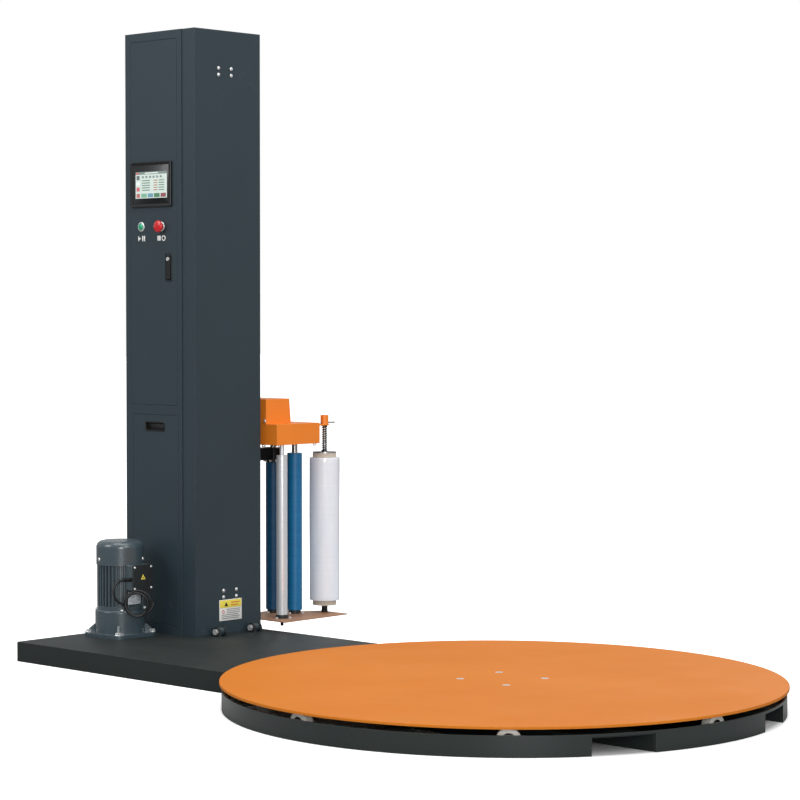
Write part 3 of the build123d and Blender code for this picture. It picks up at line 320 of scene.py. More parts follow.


# the third colour of each coat goes on scuffs and edges: rubbed paint there, and along the edges a painted
# highlight too
paintLooks = readLooks("color shade worn grain bump edge wear round rough gloss coat dust scuff", (
    ("mastCoat", (44, 58, 65), (39, 53, 60), (120, 128, 132), 650, 0.16, 0.0016, 0.35, 0.0012, 0.42, 0.4,
     0.05, 0.12, 0.1),
    ("baseCoat", (37, 43, 42), (33, 39, 38), (120, 122, 118), 480, 0.2, 0.002, 0.5, 0.0012, 0.5, 0.25, 0.0,
     0.03, 0.15),
    ("ringCoat", (40, 47, 45), (35, 41, 40), (110, 112, 110), 420, 0.14, 0.002, 0.4, 0.001, 0.26, 0.4, 0.2,
     0.1, 0.2),
    ("tableCoat", (204, 118, 30), (198, 112, 27), (232, 170, 110), 520, 0.18, 0.0025, 0.55, 0.0014, 0.62,
     0.16, 0.0, 0.03, 0.08),
    ("carriageCoat", (240, 138, 42), (232, 128, 36), (250, 190, 140), 600, 0.14, 0.0014, 0.35, 0.0012, 0.36,
     0.45, 0.1, 0.1, 0.05),
    ("motorCoat", (64, 79, 86), (54, 69, 76), (158, 162, 164), 300, 0.3, 0.0015, 0.45, 0.0011, 0.26, 0.5,
     0.6, 0.08, 0.1),
    # bottom plate: orange paint dulled toward grey-brown, partly its own colour and partly a painted
    # reflection of the white surround
    ("plateCoatAndReflection", (176, 128, 92), (164, 116, 82), (214, 196, 176), 520, 0.18, 0.002, 0.5, 0.0008, 0.42, 0.4,
     0.1, 0.2, 0.25),
    ("lidCoat", (34, 40, 42), (28, 34, 36), (110, 112, 112), 500, 0.2, 0.001, 0.4, 0.0006, 0.4, 0.4, 0.1,
     0.05, 0.1),
    ("darkCoat", (44, 48, 50), (34, 38, 40), (110, 112, 112), 500, 0.2, 0.0015, 0.5, 0.001, 0.45, 0.4, 0.0,
     0.2, 0.15),
))
metalLooks = readLooks("color shade stretch wear rough bump round metal vary anisotropic middle", (
    ("zincSteel", (236, 237, 236), (222, 224, 224), (600, 600, 600), 0.3, 0.32, 0.15, 0.0004, 0.65, 0.07,
     0.0, (0, 0, 0)),
    ("darkSteel", (38, 38, 40), (26, 26, 28), (500, 500, 500), 0.6, 0.42, 0.2, 0.0004, 0.9, 0.07, 0.0,
     (0, 0, 0)),
    ("turnedAluminium", (236, 239, 243), (222, 227, 233), (25, 25, 2600), 0.2, 0.24, 0.02, 0.0006, 0.45,
     0.02, 0.4, (-1.38, 0.464, 0)),
    ("brushedPlate", (206, 214, 220), (192, 201, 208), (300, 300, 4000), 0.3, 0.38, 0.1, 0.0003, 0.15, 0.07,
     0.0, (0, 0, 0)),
    ("groundSteel", (190, 190, 188), (170, 171, 171), (60, 60, 1500), 0.3, 0.27, 0.15, 0.0004, 1.0, 0.07,
     0.0, (0, 0, 0)),
))
mouldedLooks = readLooks("color shade grain rough bump coat dust round", (
    ("blackPlastic", (13, 14, 16), (9, 10, 12), 1600, 0.4, 0.25, 0.0, 0.1, 0.0006),
    ("glossBlack", (6, 9, 11), (9, 12, 14), 900, 0.28, 0.02, 0.1, 0.0, 0.0006),
    ("redPlastic", (206, 20, 28), (190, 14, 22), 1200, 0.22, 0.05, 0.6, 0.1, 0.0006),
    ("greenPlastic", (40, 168, 122), (32, 150, 108), 1200, 0.2, 0.05, 0.7, 0.1, 0.0006),
    ("whitePrint", (228, 228, 224), (214, 214, 210), 1500, 0.42, 0.06, 0.0, 0.1, 0.0006),
    ("greyPrint", (128, 131, 134), (112, 115, 118), 1500, 0.5, 0.05, 0.0, 0.1, 0.0006),
    ("orangePrint", (214, 120, 60), (204, 110, 52), 1500, 0.4, 0.06, 0.0, 0.1, 0.0006),
    ("redPrint", (196, 60, 54), (184, 52, 48), 1500, 0.4, 0.06, 0.0, 0.1, 0.0006),
    ("yellowPrint", (236, 216, 84), (228, 208, 76), 1500, 0.4, 0.06, 0.0, 0.1, 0.0006),
    ("whiteTyre", (222, 220, 212), (206, 203, 194), 500, 0.38, 0.15, 0.0, 0.35, 0.001),
    ("panelGrey", (170, 172, 172), (158, 160, 160), 900, 0.5, 0.1, 0.0, 0.1, 0.0006),
    ("cardTube", (206, 196, 184), (186, 174, 160), 700, 0.8, 0.5, 0.0, 0.0, 0.0006),
    ("cableSheath", (9, 10, 11), (6, 7, 8), 1800, 0.42, 0.2, 0.0, 0.02, 0.0006),
))


def makeRollerRubber(name, look):
    # ground rubber sleeve between two heights, ground steel above and below it
    material, tree, shader, coords = startMaterial(name)
    lines = place(tree, linesGroup, coords, stretch=(40, 40, 1100))
    height = addNode(tree, "SeparateXYZ", {0: coords}).outputs[2]
    above = addNode(tree, "Math", {0: height, 1: look["low"]}, operation="GREATER_THAN").outputs[0]
    below = addNode(tree, "Math", {0: height, 1: look["high"]}, operation="LESS_THAN").outputs[0]
    sleeve = product(tree, above, below)
    rubber = mixColor(tree, lines["Tone"], rgb(*look["color"]), rgb(*look["shade"]))
    finishSurface(tree, shader, (lines["Height"], 0.25, 0.0001, 0.0012),
                  mixColor(tree, sleeve, rgb(176, 176, 174), rubber), mapRange(tree, sleeve, 0, 1, 0.3, 0.42))
    tree.links.new(mapRange(tree, sleeve, 0, 1, 1, 0), shader.inputs["Metallic"])
    setShader(shader, Specular_IOR_Level=0.45, Sheen_Weight=0.08)
    return material


rollerLooks = {
    "frontRubber": {"low": 0.1095, "high": 0.658, "color": (6, 110, 162), "shade": (4, 100, 150)},
    # the rear sleeve: the same blue rubber as the front one, darker as painted shade under the housing
    "rearRubberPaintedShade": {"low": 0.1095, "high": 0.624, "color": (6, 78, 118), "shade": (4, 70, 108)},
}
materials = {}
for make, looks in ((makePaint, paintLooks), (makeMetal, metalLooks), (makeMoulded, mouldedLooks),
                    (makeRollerRubber, rollerLooks)):
    materials.update({name: make(name, look) for name, look in looks.items()})


def makeFilmSkin():
    # clear layers over each other: fine tight rings, soft cloudy streaks along the roll, a wet gloss on top
    material, tree, shader, coords = startMaterial("filmSkin", (-1.4, 0.694, 0))
    rings = place(tree, linesGroup, coords, stretch=(9, 9, 900))
    streaks = place(tree, linesGroup, coords, stretch=(70, 70, 14))
    color = mixColor(tree, streaks["Height"], rgb(232, 238, 250), rgb(248, 251, 255))
    color = mixColor(tree, product(tree, rings["Tone"], 0.12), color, rgb(206, 216, 230))
    rough = mapRange(tree, streaks["Tone"], 0, 1, 0.09, 0.16)
    both = addNode(tree, "Math", {0: rings["Height"], 1: 0.35, 2: streaks["Height"]},
                   operation="MULTIPLY_ADD").outputs[0]
    finishSurface(tree, shader, (both, 0.06, 0.0004), color, rough)
    setShader(shader, Coat_Weight=0.8, Coat_Roughness=0.07, Specular_IOR_Level=0.6)
    return material


materials["filmSkin"] = makeFilmSkin()

finishOf = {
    "mastCoat": "mast_column door_frame mast_cap upper_door lower_cover",
    "baseCoat": "base_box base_floor fork_tunnels spider_frame",
    "ringCoat": "skirt_ring",
    "tableCoat": "turntable_disc",
    "carriageCoat": "gear_housing tower_cover spindle_bracket",
    "plateCoatAndReflection": "bottom_plate",
    "motorCoat": "gearbox motor_body fan_cowl terminal_box lift_gearmotor film_motor",
    "darkCoat": "carriage_frame roller_bearings",
    "zincSteel": "hinge_pins disc_screws turntable_hub",
    "groundSteel": "wheel_mounts film_spindle guide_rails",
    "darkSteel": "drive_chain drive_sprocket driven_sprocket lift_chain lift_sprocket_top lift_sprocket_low "
                 "roller_clutch spindle_spring",
    "turnedAluminium": "idler_roller",
    "frontRubber": "stretch_roller_front", "rearRubberPaintedShade": "stretch_roller_rear",
    "blackPlastic": "touch_screen latch_handle cable_glands motor_fan guide_shoes",
    "redPlastic": "stop_button", "greenPlastic": "start_button",
    "whiteTyre": " ".join(f"support_wheel_{k}" for k in range(1, 8)),
    "panelGrey": "electrical_panel", "cardTube": "film_core", "whitePrint": "film_wrap",
    "cableSheath": "motor_lead_upper motor_lead_coil motor_lead_lower",
}
for finish, names in finishOf.items():
    for name in names.split():
        slots = nodes[name].data.materials
        slots.clear()
        slots.append(materials[finish])
motorCable.data.materials.append(materials["cableSheath"])
print("materials made:", len(materials))


def turned(profile, sides=48, turn=0.0):
    # profile of (radius, height) carried round local z; six sides give a hexagon
    angle = turn + 2 * math.pi * np.arange(sides) / sides
    line = np.array(profile, float)
    return np.stack([np.outer(line[:, 0], np.cos(angle)), np.outer(line[:, 0], np.sin(angle)),
                     np.repeat(line[:, 1:2], sides, 1)], -1)


def framed(width, height, corner, profile, steps=7):
    # rounded rectangle carried through a profile of (inset, lift)
    quarter = np.linspace(0, math.pi / 2, steps)
    angle = np.concatenate([quarter + k * math.pi / 2 for k in range(4)])
    side = np.repeat([1, -1, -1, 1], steps), np.repeat([1, 1, -1, -1], steps)
    line = np.array(profile, float)
    bend = np.maximum(corner - line[:, 0], 0.00005)[:, None]
    slide = np.maximum(line[:, 0] - corner, 0)[:, None]
    x = side[0] * (width / 2 - corner - slide) + bend * np.cos(angle)
    y = side[1] * (height / 2 - corner - slide) + bend * np.sin(angle)
    return np.stack([x, y, np.repeat(line[:, 1:2], len(angle), 1)], -1)


def tubeAlong(path, side, radius, sides=10):
    # circle carried along a line of points; side points away from the middle of the bend
    path, side = np.asarray(path, float), np.asarray(side, float)
    ahead = np.gradient(path, axis=0)
    ahead /= np.linalg.norm(ahead, axis=1, keepdims=True)
    side = side - (side * ahead).sum(1, keepdims=True) * ahead
    side /= np.linalg.norm(side, axis=1, keepdims=True)
    over = np.cross(ahead, side)
    angle = 2 * math.pi * np.arange(sides) / sides
    ring = np.cos(angle)[None, :, None] * side[:, None] + np.sin(angle)[None, :, None] * over[:, None]
    return path[:, None] + radius * ring


def seat(grid, origin, right, up):
    # local x, y and z to the row frame: along right, along up, and out of both
    right, up = np.array(right, float), np.array(up, float)
    right /= np.linalg.norm(right)
    up /= np.linalg.norm(up)
    return grid @ np.stack([right, up, np.cross(right, up)]) + np.array(origin, float)


def shell(grid, finish=0, loop=False):
    # one closed skin: columns join round, loop joins last row to first, otherwise a face closes each end
    return {"grid": grid, "finish": finish, "loop": loop}


def makePiece(name, shells, finishes, body, sharp=38, shown=()):
    # every grid of rows and columns becomes quads, all grids one mesh with its normals turned outwards
    points, faces, marks, first = [], [], [], 0
    for part in shells:
        rows, columns = part["grid"].shape[:2]
        row, column = np.meshgrid(np.arange(rows if part["loop"] else rows - 1), np.arange(columns),
                                  indexing="ij")
        nextRow, nextColumn = (row + 1) % rows, (column + 1) % columns
        quads = np.stack([row * columns + column, row * columns + nextColumn,
                          nextRow * columns + nextColumn, nextRow * columns + column], -1)
        made = (quads.reshape(-1, 4) + first).tolist()
        if not part["loop"]:
            made += [(first + np.arange(columns)[::-1]).tolist(),
                     (first + (rows - 1) * columns + np.arange(columns)).tolist()]
        points.append(part["grid"].reshape(-1, 3))
        faces += made
        marks += [part["finish"]] * len(made)
        first += rows * columns
    mesh = bpy.data.meshes.new(name)
    mesh.from_pydata(np.concatenate(points), [], faces)
    for finish in finishes:
        mesh.materials.append(materials[finish])
    mesh.polygons.foreach_set("material_index", marks)
    skin = bmesh.new()
    skin.from_mesh(mesh)
    bmesh.ops.recalc_face_normals(skin, faces=skin.faces)
    skin.to_mesh(mesh)
    skin.free()
    mesh.polygons.foreach_set("use_smooth", np.ones(len(mesh.polygons), bool))
    mesh.set_sharp_from_angle(angle=math.radians(sharp))
    piece = bpy.data.objects.new(name, mesh)
    scene.collection.objects.link(piece)
    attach(piece, body)
    if shown:
        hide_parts(*shown)
    return piece


front = {"right": (1, 0, 0), "up": (0, 0, 1)}        # the door side, towards -Y
tableSide = {"right": (0, 1, 0), "up": (0, 0, 1)}    # towards +X
upward = {"right": (1, 0, 0), "up": (0, 1, 0)}       # towards +Z
downward = {"right": (1, 0, 0), "up": (0, -1, 0)}    # towards -Z


def hexBolt(size, head):
    # washer turned round z under a head turned with six sides; size is the head's half width
    washer = turned([(size * 0.6, 0), (size * 1.08, 0), (size * 1.12, size * 0.06),
                     (size * 1.08, size * 0.13), (size * 0.6, size * 0.13)], 28)
    low = size * 0.13
    top = turned([(size * 0.88, low), (size * 0.92, low + head * 0.08), (size * 0.92, low + head * 0.8),
                  (size * 0.8, low + head), (size * 0.3, low + head * 1.02)], 6, 0.3)
    return [shell(washer), shell(top)]


def domeScrew(radius, height):
    # quarter ellipse of radius and height turned round z, with a small flat on top
    turn = np.linspace(0, math.pi / 2, 7)[:-1]
    rise = [(radius * math.cos(a), height * math.sin(a)) for a in turn]
    flat = [(radius * 0.30, height * 0.99), (radius * 0.24, height * 0.97)]
    return [shell(turned([(radius * 0.7, -0.0004), (radius, -0.0004)] + rise + flat, 28))]


def socketScrew(radius, height):
    # cylinder with a chamfered rim and a round hollow in the top: one profile turned round z
    return [shell(turned([(radius * 0.6, -0.0004), (radius * 0.96, -0.0004), (radius, 0.0004),
                          (radius, height * 0.85), (radius * 0.88, height),
                          (radius * 0.52, height), (radius * 0.48, height * 0.5),
                          (radius * 0.1, height * 0.45)], 28))]


def opening(piece):
    # middle, width and height of a front piece given by its spans along x and z
    (x0, x1), (z0, z1) = piece["x"], piece["z"]
    return ((x0 + x1) / 2, piece["face"], (z0 + z1) / 2), x1 - x0, z1 - z0


def ringOf(middle, reach, degrees, height):
    # places on a circle round an upright axis, each with the way out and the way round it
    for turn in np.radians(degrees):
        out = np.array((math.cos(turn), math.sin(turn), 0))
        yield out * reach + (*middle, height), out, (-out[1], out[0], 0)


def onDoor(grid, where, finish=0, loop=False):
    return shell(seat(grid, where, **front), finish, loop=loop)


def spread(kind, places, right, up, finish=0):
    # the same head set at every place, its local z out of right and up
    return [{**part, "grid": seat(part["grid"], where, right, up), "finish": finish}
            for where in places for part in kind]


# mast: touch panel
panel = {"x": (-1.703, -1.503), "z": (1.5015, 1.6525), "face": 0.0663, "border": 0.0105, "corner": 0.004,
         "picture": (-1.6785, -1.5215, 1.531, 1.620)}


def makeTouchPanel(panel):
    # a raised rounded frame and a glass pane inside it
    (middle, width, height), border = opening(panel), panel["border"]
    bezel = framed(width + 0.0006, height + 0.0006, panel["corner"],
                   [(0, -0.004), (0, 0.0004), (0.0012, 0.0018), (border - 0.002, 0.0018), (border, 0.0006),
                    (border, -0.004)])
    glass = framed(width - 2 * border + 0.0004, height - 2 * border + 0.0004, 0.002,
                   [(0, -0.003), (0, 0.0003), (0.0004, 0.0005)])
    makePiece("touchPanelFrame", [onDoor(bezel, middle, loop=True)], ["blackPlastic"], "upper_door")
    makePiece("touchPanelGlass", [onDoor(glass, middle)], ["glossBlack"], "upper_door")


makeTouchPanel(panel)

# the picture: fields as shares of its width and height, each with its colour; no lettering
picture = {
    "ground": (198, 212, 204), "glow": 0.35, "sunk": 0.0006, "step": 0.00012, "layer": 0.00001,
    "fields": [((0.0, 0.90, 1.0, 1.0), (120, 134, 130)), ((0.02, 0.92, 0.10, 0.98), (200, 90, 90)),
               ((0.30, 0.93, 0.72, 0.97), (216, 224, 220)), ((0.03, 0.70, 0.13, 0.86), (96, 104, 108)),
               ((0.03, 0.50, 0.13, 0.62), (226, 232, 228)), ((0.03, 0.27, 0.13, 0.42), (196, 96, 104)),
               ((0.18, 0.03, 0.36, 0.18), (116, 168, 140)), ((0.39, 0.03, 0.56, 0.18), (100, 146, 164)),
               ((0.59, 0.03, 0.77, 0.18), (70, 122, 84)), ((0.80, 0.03, 0.97, 0.18), (134, 74, 80)),
               ((0.03, 0.03, 0.14, 0.18), (176, 96, 96))]
    + [((0.20 + 0.115 * k, 0.76, 0.27 + 0.115 * k, 0.84), (128, 140, 134)) for k in range(6)]
    + [((x, y, x + wide, y + 0.035), tint)
       for x, wide, tint in ((0.20, 0.26, (104, 128, 112)), (0.58, 0.12, (170, 120, 90)),
                             (0.74, 0.18, (104, 128, 112)))
       for y in (0.65, 0.56, 0.47, 0.38, 0.29)],
}


def makePicture(picture, where):
    x0, x1, z0, z1 = where
    # each field is one flat face, a hair in front of the field before it
    flat = [((0, 0, 1, 1), picture["ground"])] + picture["fields"]
    box = np.array([field[0] for field in flat])
    order = np.arange(len(flat))
    lift = panel["face"] - picture["sunk"] - picture["step"] * np.minimum(order, 1) - picture["layer"] * order
    x, z = x0 + (x1 - x0) * box[:, [0, 2, 2, 0]], z0 + (z1 - z0) * box[:, [1, 1, 3, 3]]
    corners = np.stack([x, np.repeat(lift[:, None], 4, 1), z], -1).reshape(-1, 3)
    mesh = bpy.data.meshes.new("touchPicture")
    mesh.from_pydata(corners, [], np.arange(len(corners)).reshape(-1, 4).tolist())
    tint = mesh.color_attributes.new("fieldColor", "FLOAT_COLOR", "CORNER")
    tint.data.foreach_set("color", np.repeat([rgb(*field[1]) for field in flat], 4, 0).ravel())
    material, tree, shader, coords = startMaterial("touchPicture")
    color = addNode(tree, "VertexColor", layer_name="fieldColor").outputs[0]
    speck = place(tree, grainGroup, coords, scale=900)
    shown = mixColor(tree, product(tree, speck["Height"], 0.12), color, rgb(90, 100, 98))
    for socket in ("Base Color", "Emission Color"):
        tree.links.new(shown, shader.inputs[socket])
    setShader(shader, Emission_Strength=picture["glow"], Roughness=0.22, Coat_Weight=0.5)
    mesh.materials.append(material)
    piece = bpy.data.objects.new("touchPicture", mesh)
    scene.collection.objects.link(piece)
    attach(piece, "upper_door")


makePicture(picture, panel["picture"])

# mast: push buttons, each with a plated collar and a plain sign below it
buttons = {"face": 0.0723, "start": (-1.657, 1.436), "stop": (-1.557, 1.435), "collar": 0.0162,
           "dome": 0.0108, "head": 0.0199, "behind": -0.019, "sign": 1.396, "signAside": 0.0115}


def makeButtons(buttons):
    collar = [(0.0112, -0.0005), (buttons["collar"], -0.0005), (buttons["collar"], 0.0018),
              (buttons["collar"] - 0.0014, 0.0034), (0.0128, 0.0038), (0.0112, 0.0024)]
    behind, dome, headRadius, aside = (buttons[key] for key in ("behind", "dome", "head", "signAside"))
    for name, (x, z) in (("start", buttons["start"]), ("stop", buttons["stop"])):
        plated = onDoor(turned(collar, 56), (x, buttons["face"], z), loop=True)
        makePiece(name + "Collar", [plated], ["zincSteel"], "upper_door")
    x, z = buttons["start"]
    lens = turned([(dome, behind), (dome, 0.0046), (dome - 0.0006, 0.0056), (dome * 0.80, 0.0064),
                   (dome * 0.5, 0.0070), (dome * 0.15, 0.0072)], 48)
    makePiece("startCap", [onDoor(lens, (x, buttons["face"], z))], ["greenPlastic"],
              "start_button", shown=["start_button"])
    x, z = buttons["stop"]
    head = turned([(0.0104, behind), (0.0104, 0.0112), (headRadius * 0.93, 0.0112), (headRadius, 0.0126),
                   (headRadius, 0.0160), (headRadius * 0.96, 0.0182), (headRadius * 0.82, 0.0202),
                   (headRadius * 0.55, 0.0216), (headRadius * 0.2, 0.0220)], 64)
    mark, grip = framed(0.0022, 0.0009, 0.0004, [(0, 0), (0.0003, 0.0004)]), []
    for turn in np.arange(3) * 2.094 + 0.4:
        out = np.array((math.cos(turn), math.sin(turn), 0))
        onHead = seat(mark, headRadius * 0.64 * out + (0, 0, 0.0211), (-out[1], out[0], 0), out)
        grip.append(onDoor(onHead, (x, buttons["face"], z), 1))
    makePiece("stopCap", [onDoor(head, (x, buttons["face"], z))] + grip,
              ["redPlastic", "whitePrint"], "stop_button", shown=["stop_button"])
    # signs: an arrow head and two bars for start, a square and a ring for stop
    flat, signs = [(0, -0.0004), (0, 0.0005), (0.0003, 0.0007)], []
    arrow = turned([(0.0098, -0.0004), (0.0098, 0.0005), (0.0094, 0.0007)], 3, 0)
    ring = turned([(0.0096, -0.0004), (0.0096, 0.0005), (0.0092, 0.0007), (0.0060, 0.0007),
                   (0.0056, 0.0005), (0.0056, -0.0004)], 40)
    bar, square = framed(0.0055, 0.0185, 0.001, flat), framed(0.0165, 0.0165, 0.0015, flat)
    for middle, grid, shift in ((buttons["start"][0], arrow, -aside), (buttons["start"][0], bar, 0.0065),
                                (buttons["start"][0], bar, 0.0155), (buttons["stop"][0], square, -aside),
                                (buttons["stop"][0], ring, aside)):
        where = (middle + shift, buttons["face"], buttons["sign"])
        signs.append(onDoor(grid, where, loop=grid is ring))
    makePiece("buttonSigns", signs, ["whitePrint"], "upper_door")


makeButtons(buttons)

# mast: latch housing and the frame of the flush pull
latch = {"x": (-1.5352, -1.5058), "z": (1.2525, 1.3435), "face": 0.0723, "rim": 0.0018,
         "lock": (-1.5205, 1.3255)}
pull = {"x": (-1.638, -1.547), "z": (0.751, 0.776), "face": 0.0723, "rim": 0.0045}


def makeLatchAndPull(latch, pull):
    # rims are rounded rectangles with a low profile, the key hole is turned round its axis
    (middle, size, tall), rimWidth = opening(latch), latch["rim"]
    rim = framed(size + 2 * rimWidth, tall + 2 * rimWidth, 0.006,
                 [(0, -0.0006), (0, 0.0008), (rimWidth * 0.4, 0.0016), (rimWidth * 0.8, 0.0016),
                  (rimWidth, 0.0010), (rimWidth, -0.0006)])
    makePiece("latchHousing", [onDoor(rim, middle, loop=True)], ["blackPlastic"], "upper_door")
    key = turned([(0.0062, 0), (0.0062, 0.0040), (0.0056, 0.0046), (0.0034, 0.0046), (0.0030, 0.0034),
                  (0.0006, 0.0034)], 36)
    slot = framed(0.0012, 0.0052, 0.0003, [(0, 0.0030), (0, 0.0040), (0.0002, 0.0041)])
    where = (latch["lock"][0], latch["face"] - 0.0028, latch["lock"][1])
    makePiece("latchLock", [onDoor(key, where), onDoor(slot, where, 1)], ["zincSteel", "blackPlastic"],
              "latch")
    (middle, size, tall), rimWidth = opening(pull), pull["rim"]
    rim = framed(size + 2 * rimWidth, tall + 2 * rimWidth, 0.007,
                 [(0, -0.0006), (0, 0.0006), (0.0010, 0.0013), (rimWidth - 0.0003, 0.0013),
                  (rimWidth + 0.0007, 0.0003), (rimWidth + 0.0007, -0.011), (rimWidth, -0.011)])
    cup = framed(size - 0.0008, tall - 0.0008, 0.0035, [(0, -0.0113), (0, -0.0105), (0.001, -0.0100)])
    makePiece("flushPull", [onDoor(rim, middle, loop=True), onDoor(cup, middle)], ["blackPlastic"],
              "lower_cover")


makeLatchAndPull(latch, pull)
print("mast front fitted")

# mast: screws and plate on the side that faces the table
mastSide = {"x": -1.396, "screws": ((0.185, 1.961), (0.243, 1.961), (0.185, 1.939), (0.243, 1.939),
                                    (0.2035, 0.212), (0.2625, 0.212), (0.2035, 0.190), (0.2625, 0.190)),
            "plate": (0.183, 0.287, 0.110, 0.181), "radius": 0.0062, "height": 0.0036}


def makeMastSide(mastSide):
    heads = spread(domeScrew(mastSide["radius"], mastSide["height"]),
                   [(mastSide["x"], y, z) for y, z in mastSide["screws"]], **tableSide)
    makePiece("mastSideScrews", heads, ["zincSteel"], "mast")
    y0, y1, z0, z1 = mastSide["plate"]
    width, height = y1 - y0, z1 - z0
    thin = [(0, -0.0003), (0, 0.0006), (0.0003, 0.0008)]
    parts = []

    def stick(grid, across, along, lift, finish, loop=False):
        # a flat shape laid on the plate, its place as shares of the plate's width and height
        where = (mastSide["x"] + lift, y0 + width * across, z0 + height * along)
        parts.append(shell(seat(grid, where, **tableSide), finish, loop=loop))

    stick(framed(width, height, 0.003, thin), 0.5, 0.5, 0, 0)
    stick(framed(width - 0.005, height * 0.36, 0.002, thin), 0.5, 0.79, 0.0003, 1)
    # a plain dark triangle and two bars on the yellow band, a ring and six bars on the white field
    triangle = turned([(0.0098, -0.0003), (0.0098, 0.0006), (0.0095, 0.0008)], 3, math.pi / 2)
    stick(triangle, 0.30, 0.75, 0.0006, 2)
    for row, (start, end) in enumerate(((0.52, 0.90), (0.52, 0.82))):
        bar = framed(width * (end - start), height * 0.05, 0.0008, thin)
        stick(bar, (start + end) / 2, 0.85 - 0.12 * row, 0.0006, 4)
    ring = turned([(0.0062, -0.0003), (0.0062, 0.0006), (0.0059, 0.0008), (0.0040, 0.0008),
                   (0.0037, 0.0006), (0.0037, -0.0003)], 28)
    stick(ring, 0.17, 0.42, 0.0003, 5, loop=True)
    for row in range(6):
        start, end = (0.32, 0.92) if row < 3 else (0.10, 0.92 - 0.07 * (row % 2))
        bar = framed(width * (end - start), height * 0.035, 0.0006, thin)
        stick(bar, (start + end) / 2, 0.53 - 0.085 * row, 0.0003, 3)
    makePiece("mastSidePlate", parts, ["whitePrint", "yellowPrint", "blackPlastic", "greyPrint",
                                       "orangePrint", "redPrint"], "mast")


makeMastSide(mastSide)
print("mast side fitted")

# motor: screws, lid, plain sign and data plate round its axis
motor = {
    "axis": (-1.632, -0.050), "foot": 0.077, "footPitch": 0.075, "footBolt": (0.0115, 0.0076),
    "cowlRadius": 0.080, "cowlScrewHeight": 0.3245, "cowlScrew": (0.0062, 0.0036),
    "cowlTurns": (-101, 30, 158),
    "earRadius": 0.0815, "earHeight": 0.1545, "earScrew": (0.0052, 0.0055), "earTurns": (-37, 53, 143, 233),
    "lidFace": -1.524, "lidMiddle": (-0.044, 0.2655), "lidSize": (0.0868, 0.0878),
    "lidScrew": (0.0046, 0.0028),
    "lidScrews": ((-0.080, 0.2305), (-0.008, 0.2305), (-0.080, 0.3010), (-0.008, 0.3010)),
}
dataPlate = {
    "radius": 0.0782, "turn": -2.0, "width": 0.054, "low": 0.176, "high": 0.217,
    "steps": 22, "barHalf": 0.0006,
    "bars": ((0.62, 0, 0.0145), (0.84, 0, 0.0105), (0.84, 0, -0.0065), (0.84, 0, -0.0105), (0.5, 0, -0.0150),
             *((0.36, aside, height) for height in (0.0060, 0.0020, -0.0020) for aside in (-0.24, 0.24))),
}


def makeMotorDetails(motor):
    x, y = motor["axis"]
    pitch, face = motor["footPitch"], motor["lidFace"]
    corners = [(x + dx, y + dy, motor["foot"]) for dx in (-pitch, pitch) for dy in (-pitch, pitch)]
    makePiece("motorFootBolts", spread(hexBolt(*motor["footBolt"]), corners, **upward), ["zincSteel"],
              "base")
    screws = []
    cowl = ringOf((x, y), motor["cowlRadius"], motor["cowlTurns"], motor["cowlScrewHeight"])
    for where, out, aside in cowl:
        screws += spread(domeScrew(*motor["cowlScrew"]), [where], aside, (0, 0, 1))
    ears = ringOf((x, y), motor["earRadius"], motor["earTurns"], motor["earHeight"])
    screws += spread(socketScrew(*motor["earScrew"]), [where for where, out, aside in ears], **upward)
    makePiece("motorCaseScrews", screws, ["zincSteel"], "base")
    # terminal lid: a thin dark cover with four screws and a plain triangle
    cover = framed(*motor["lidSize"], 0.004, [(0, -0.0036), (0, 0.0004), (0.0008, 0.0012)])
    cover = shell(seat(cover, (face - 0.0004, *motor["lidMiddle"]), **tableSide))
    makePiece("terminalLid", [cover], ["lidCoat"], "base")
    heads = [(face + 0.0006, y, z) for y, z in motor["lidScrews"]]
    parts = spread(domeScrew(*motor["lidScrew"]), heads, **tableSide)
    for finish, profile in ((1, [(0.0115, -0.0003), (0.0115, 0.0004), (0.0112, 0.0006)]),
                            (2, [(0.0040, -0.0003), (0.0040, 0.0007), (0.0038, 0.0009)])):
        triangle = seat(turned(profile, 3, math.pi / 2), (face + 0.0008, -0.044, 0.266), **tableSide)
        parts.append(shell(triangle, finish))
    makePiece("terminalLidFittings", parts, ["zincSteel", "yellowPrint", "blackPlastic"], "base")


def makeDataPlate(plate, axis):
    def bentStrip(across, width, low, high, lift, finish):
        # a flat bar of four corners carried round the motor axis; width over radius is the angle
        along = across + np.linspace(-width / 2, width / 2, plate["steps"])
        turn = math.radians(plate["turn"]) + along / plate["radius"]
        reach = plate["radius"] + np.array((-0.0004, lift, lift, -0.0004))
        height = np.repeat([(low, low, high, high)], plate["steps"], 0)
        x, y = axis[0] + np.outer(np.cos(turn), reach), axis[1] + np.outer(np.sin(turn), reach)
        return shell(np.stack([x, y, height], -1), finish)

    width, middle, half = plate["width"], (plate["low"] + plate["high"]) / 2, plate["barHalf"]
    strips = [bentStrip(0, width, plate["low"], plate["high"], 0.0008, 0)]
    for share, aside, height in plate["bars"]:
        low, high = middle + height - half, middle + height + half
        strips.append(bentStrip(width * aside, width * share, low, high, 0.0011, 1))
    makePiece("motorDataPlate", strips, ["brushedPlate", "greyPrint"], "base")


makeMotorDetails(motor)
makeDataPlate(dataPlate, motor["axis"])
print("motor fitted")

# base: support wheels, each turning on its own short axle
wheels = {"reach": 0.781, "height": 0.0407, "first": -3.8, "places": (0, 1, 2, 3, 5, 6, 7), "radius": 0.034,
          "half": 0.014, "hub": 0.020, "bore": 0.0071}


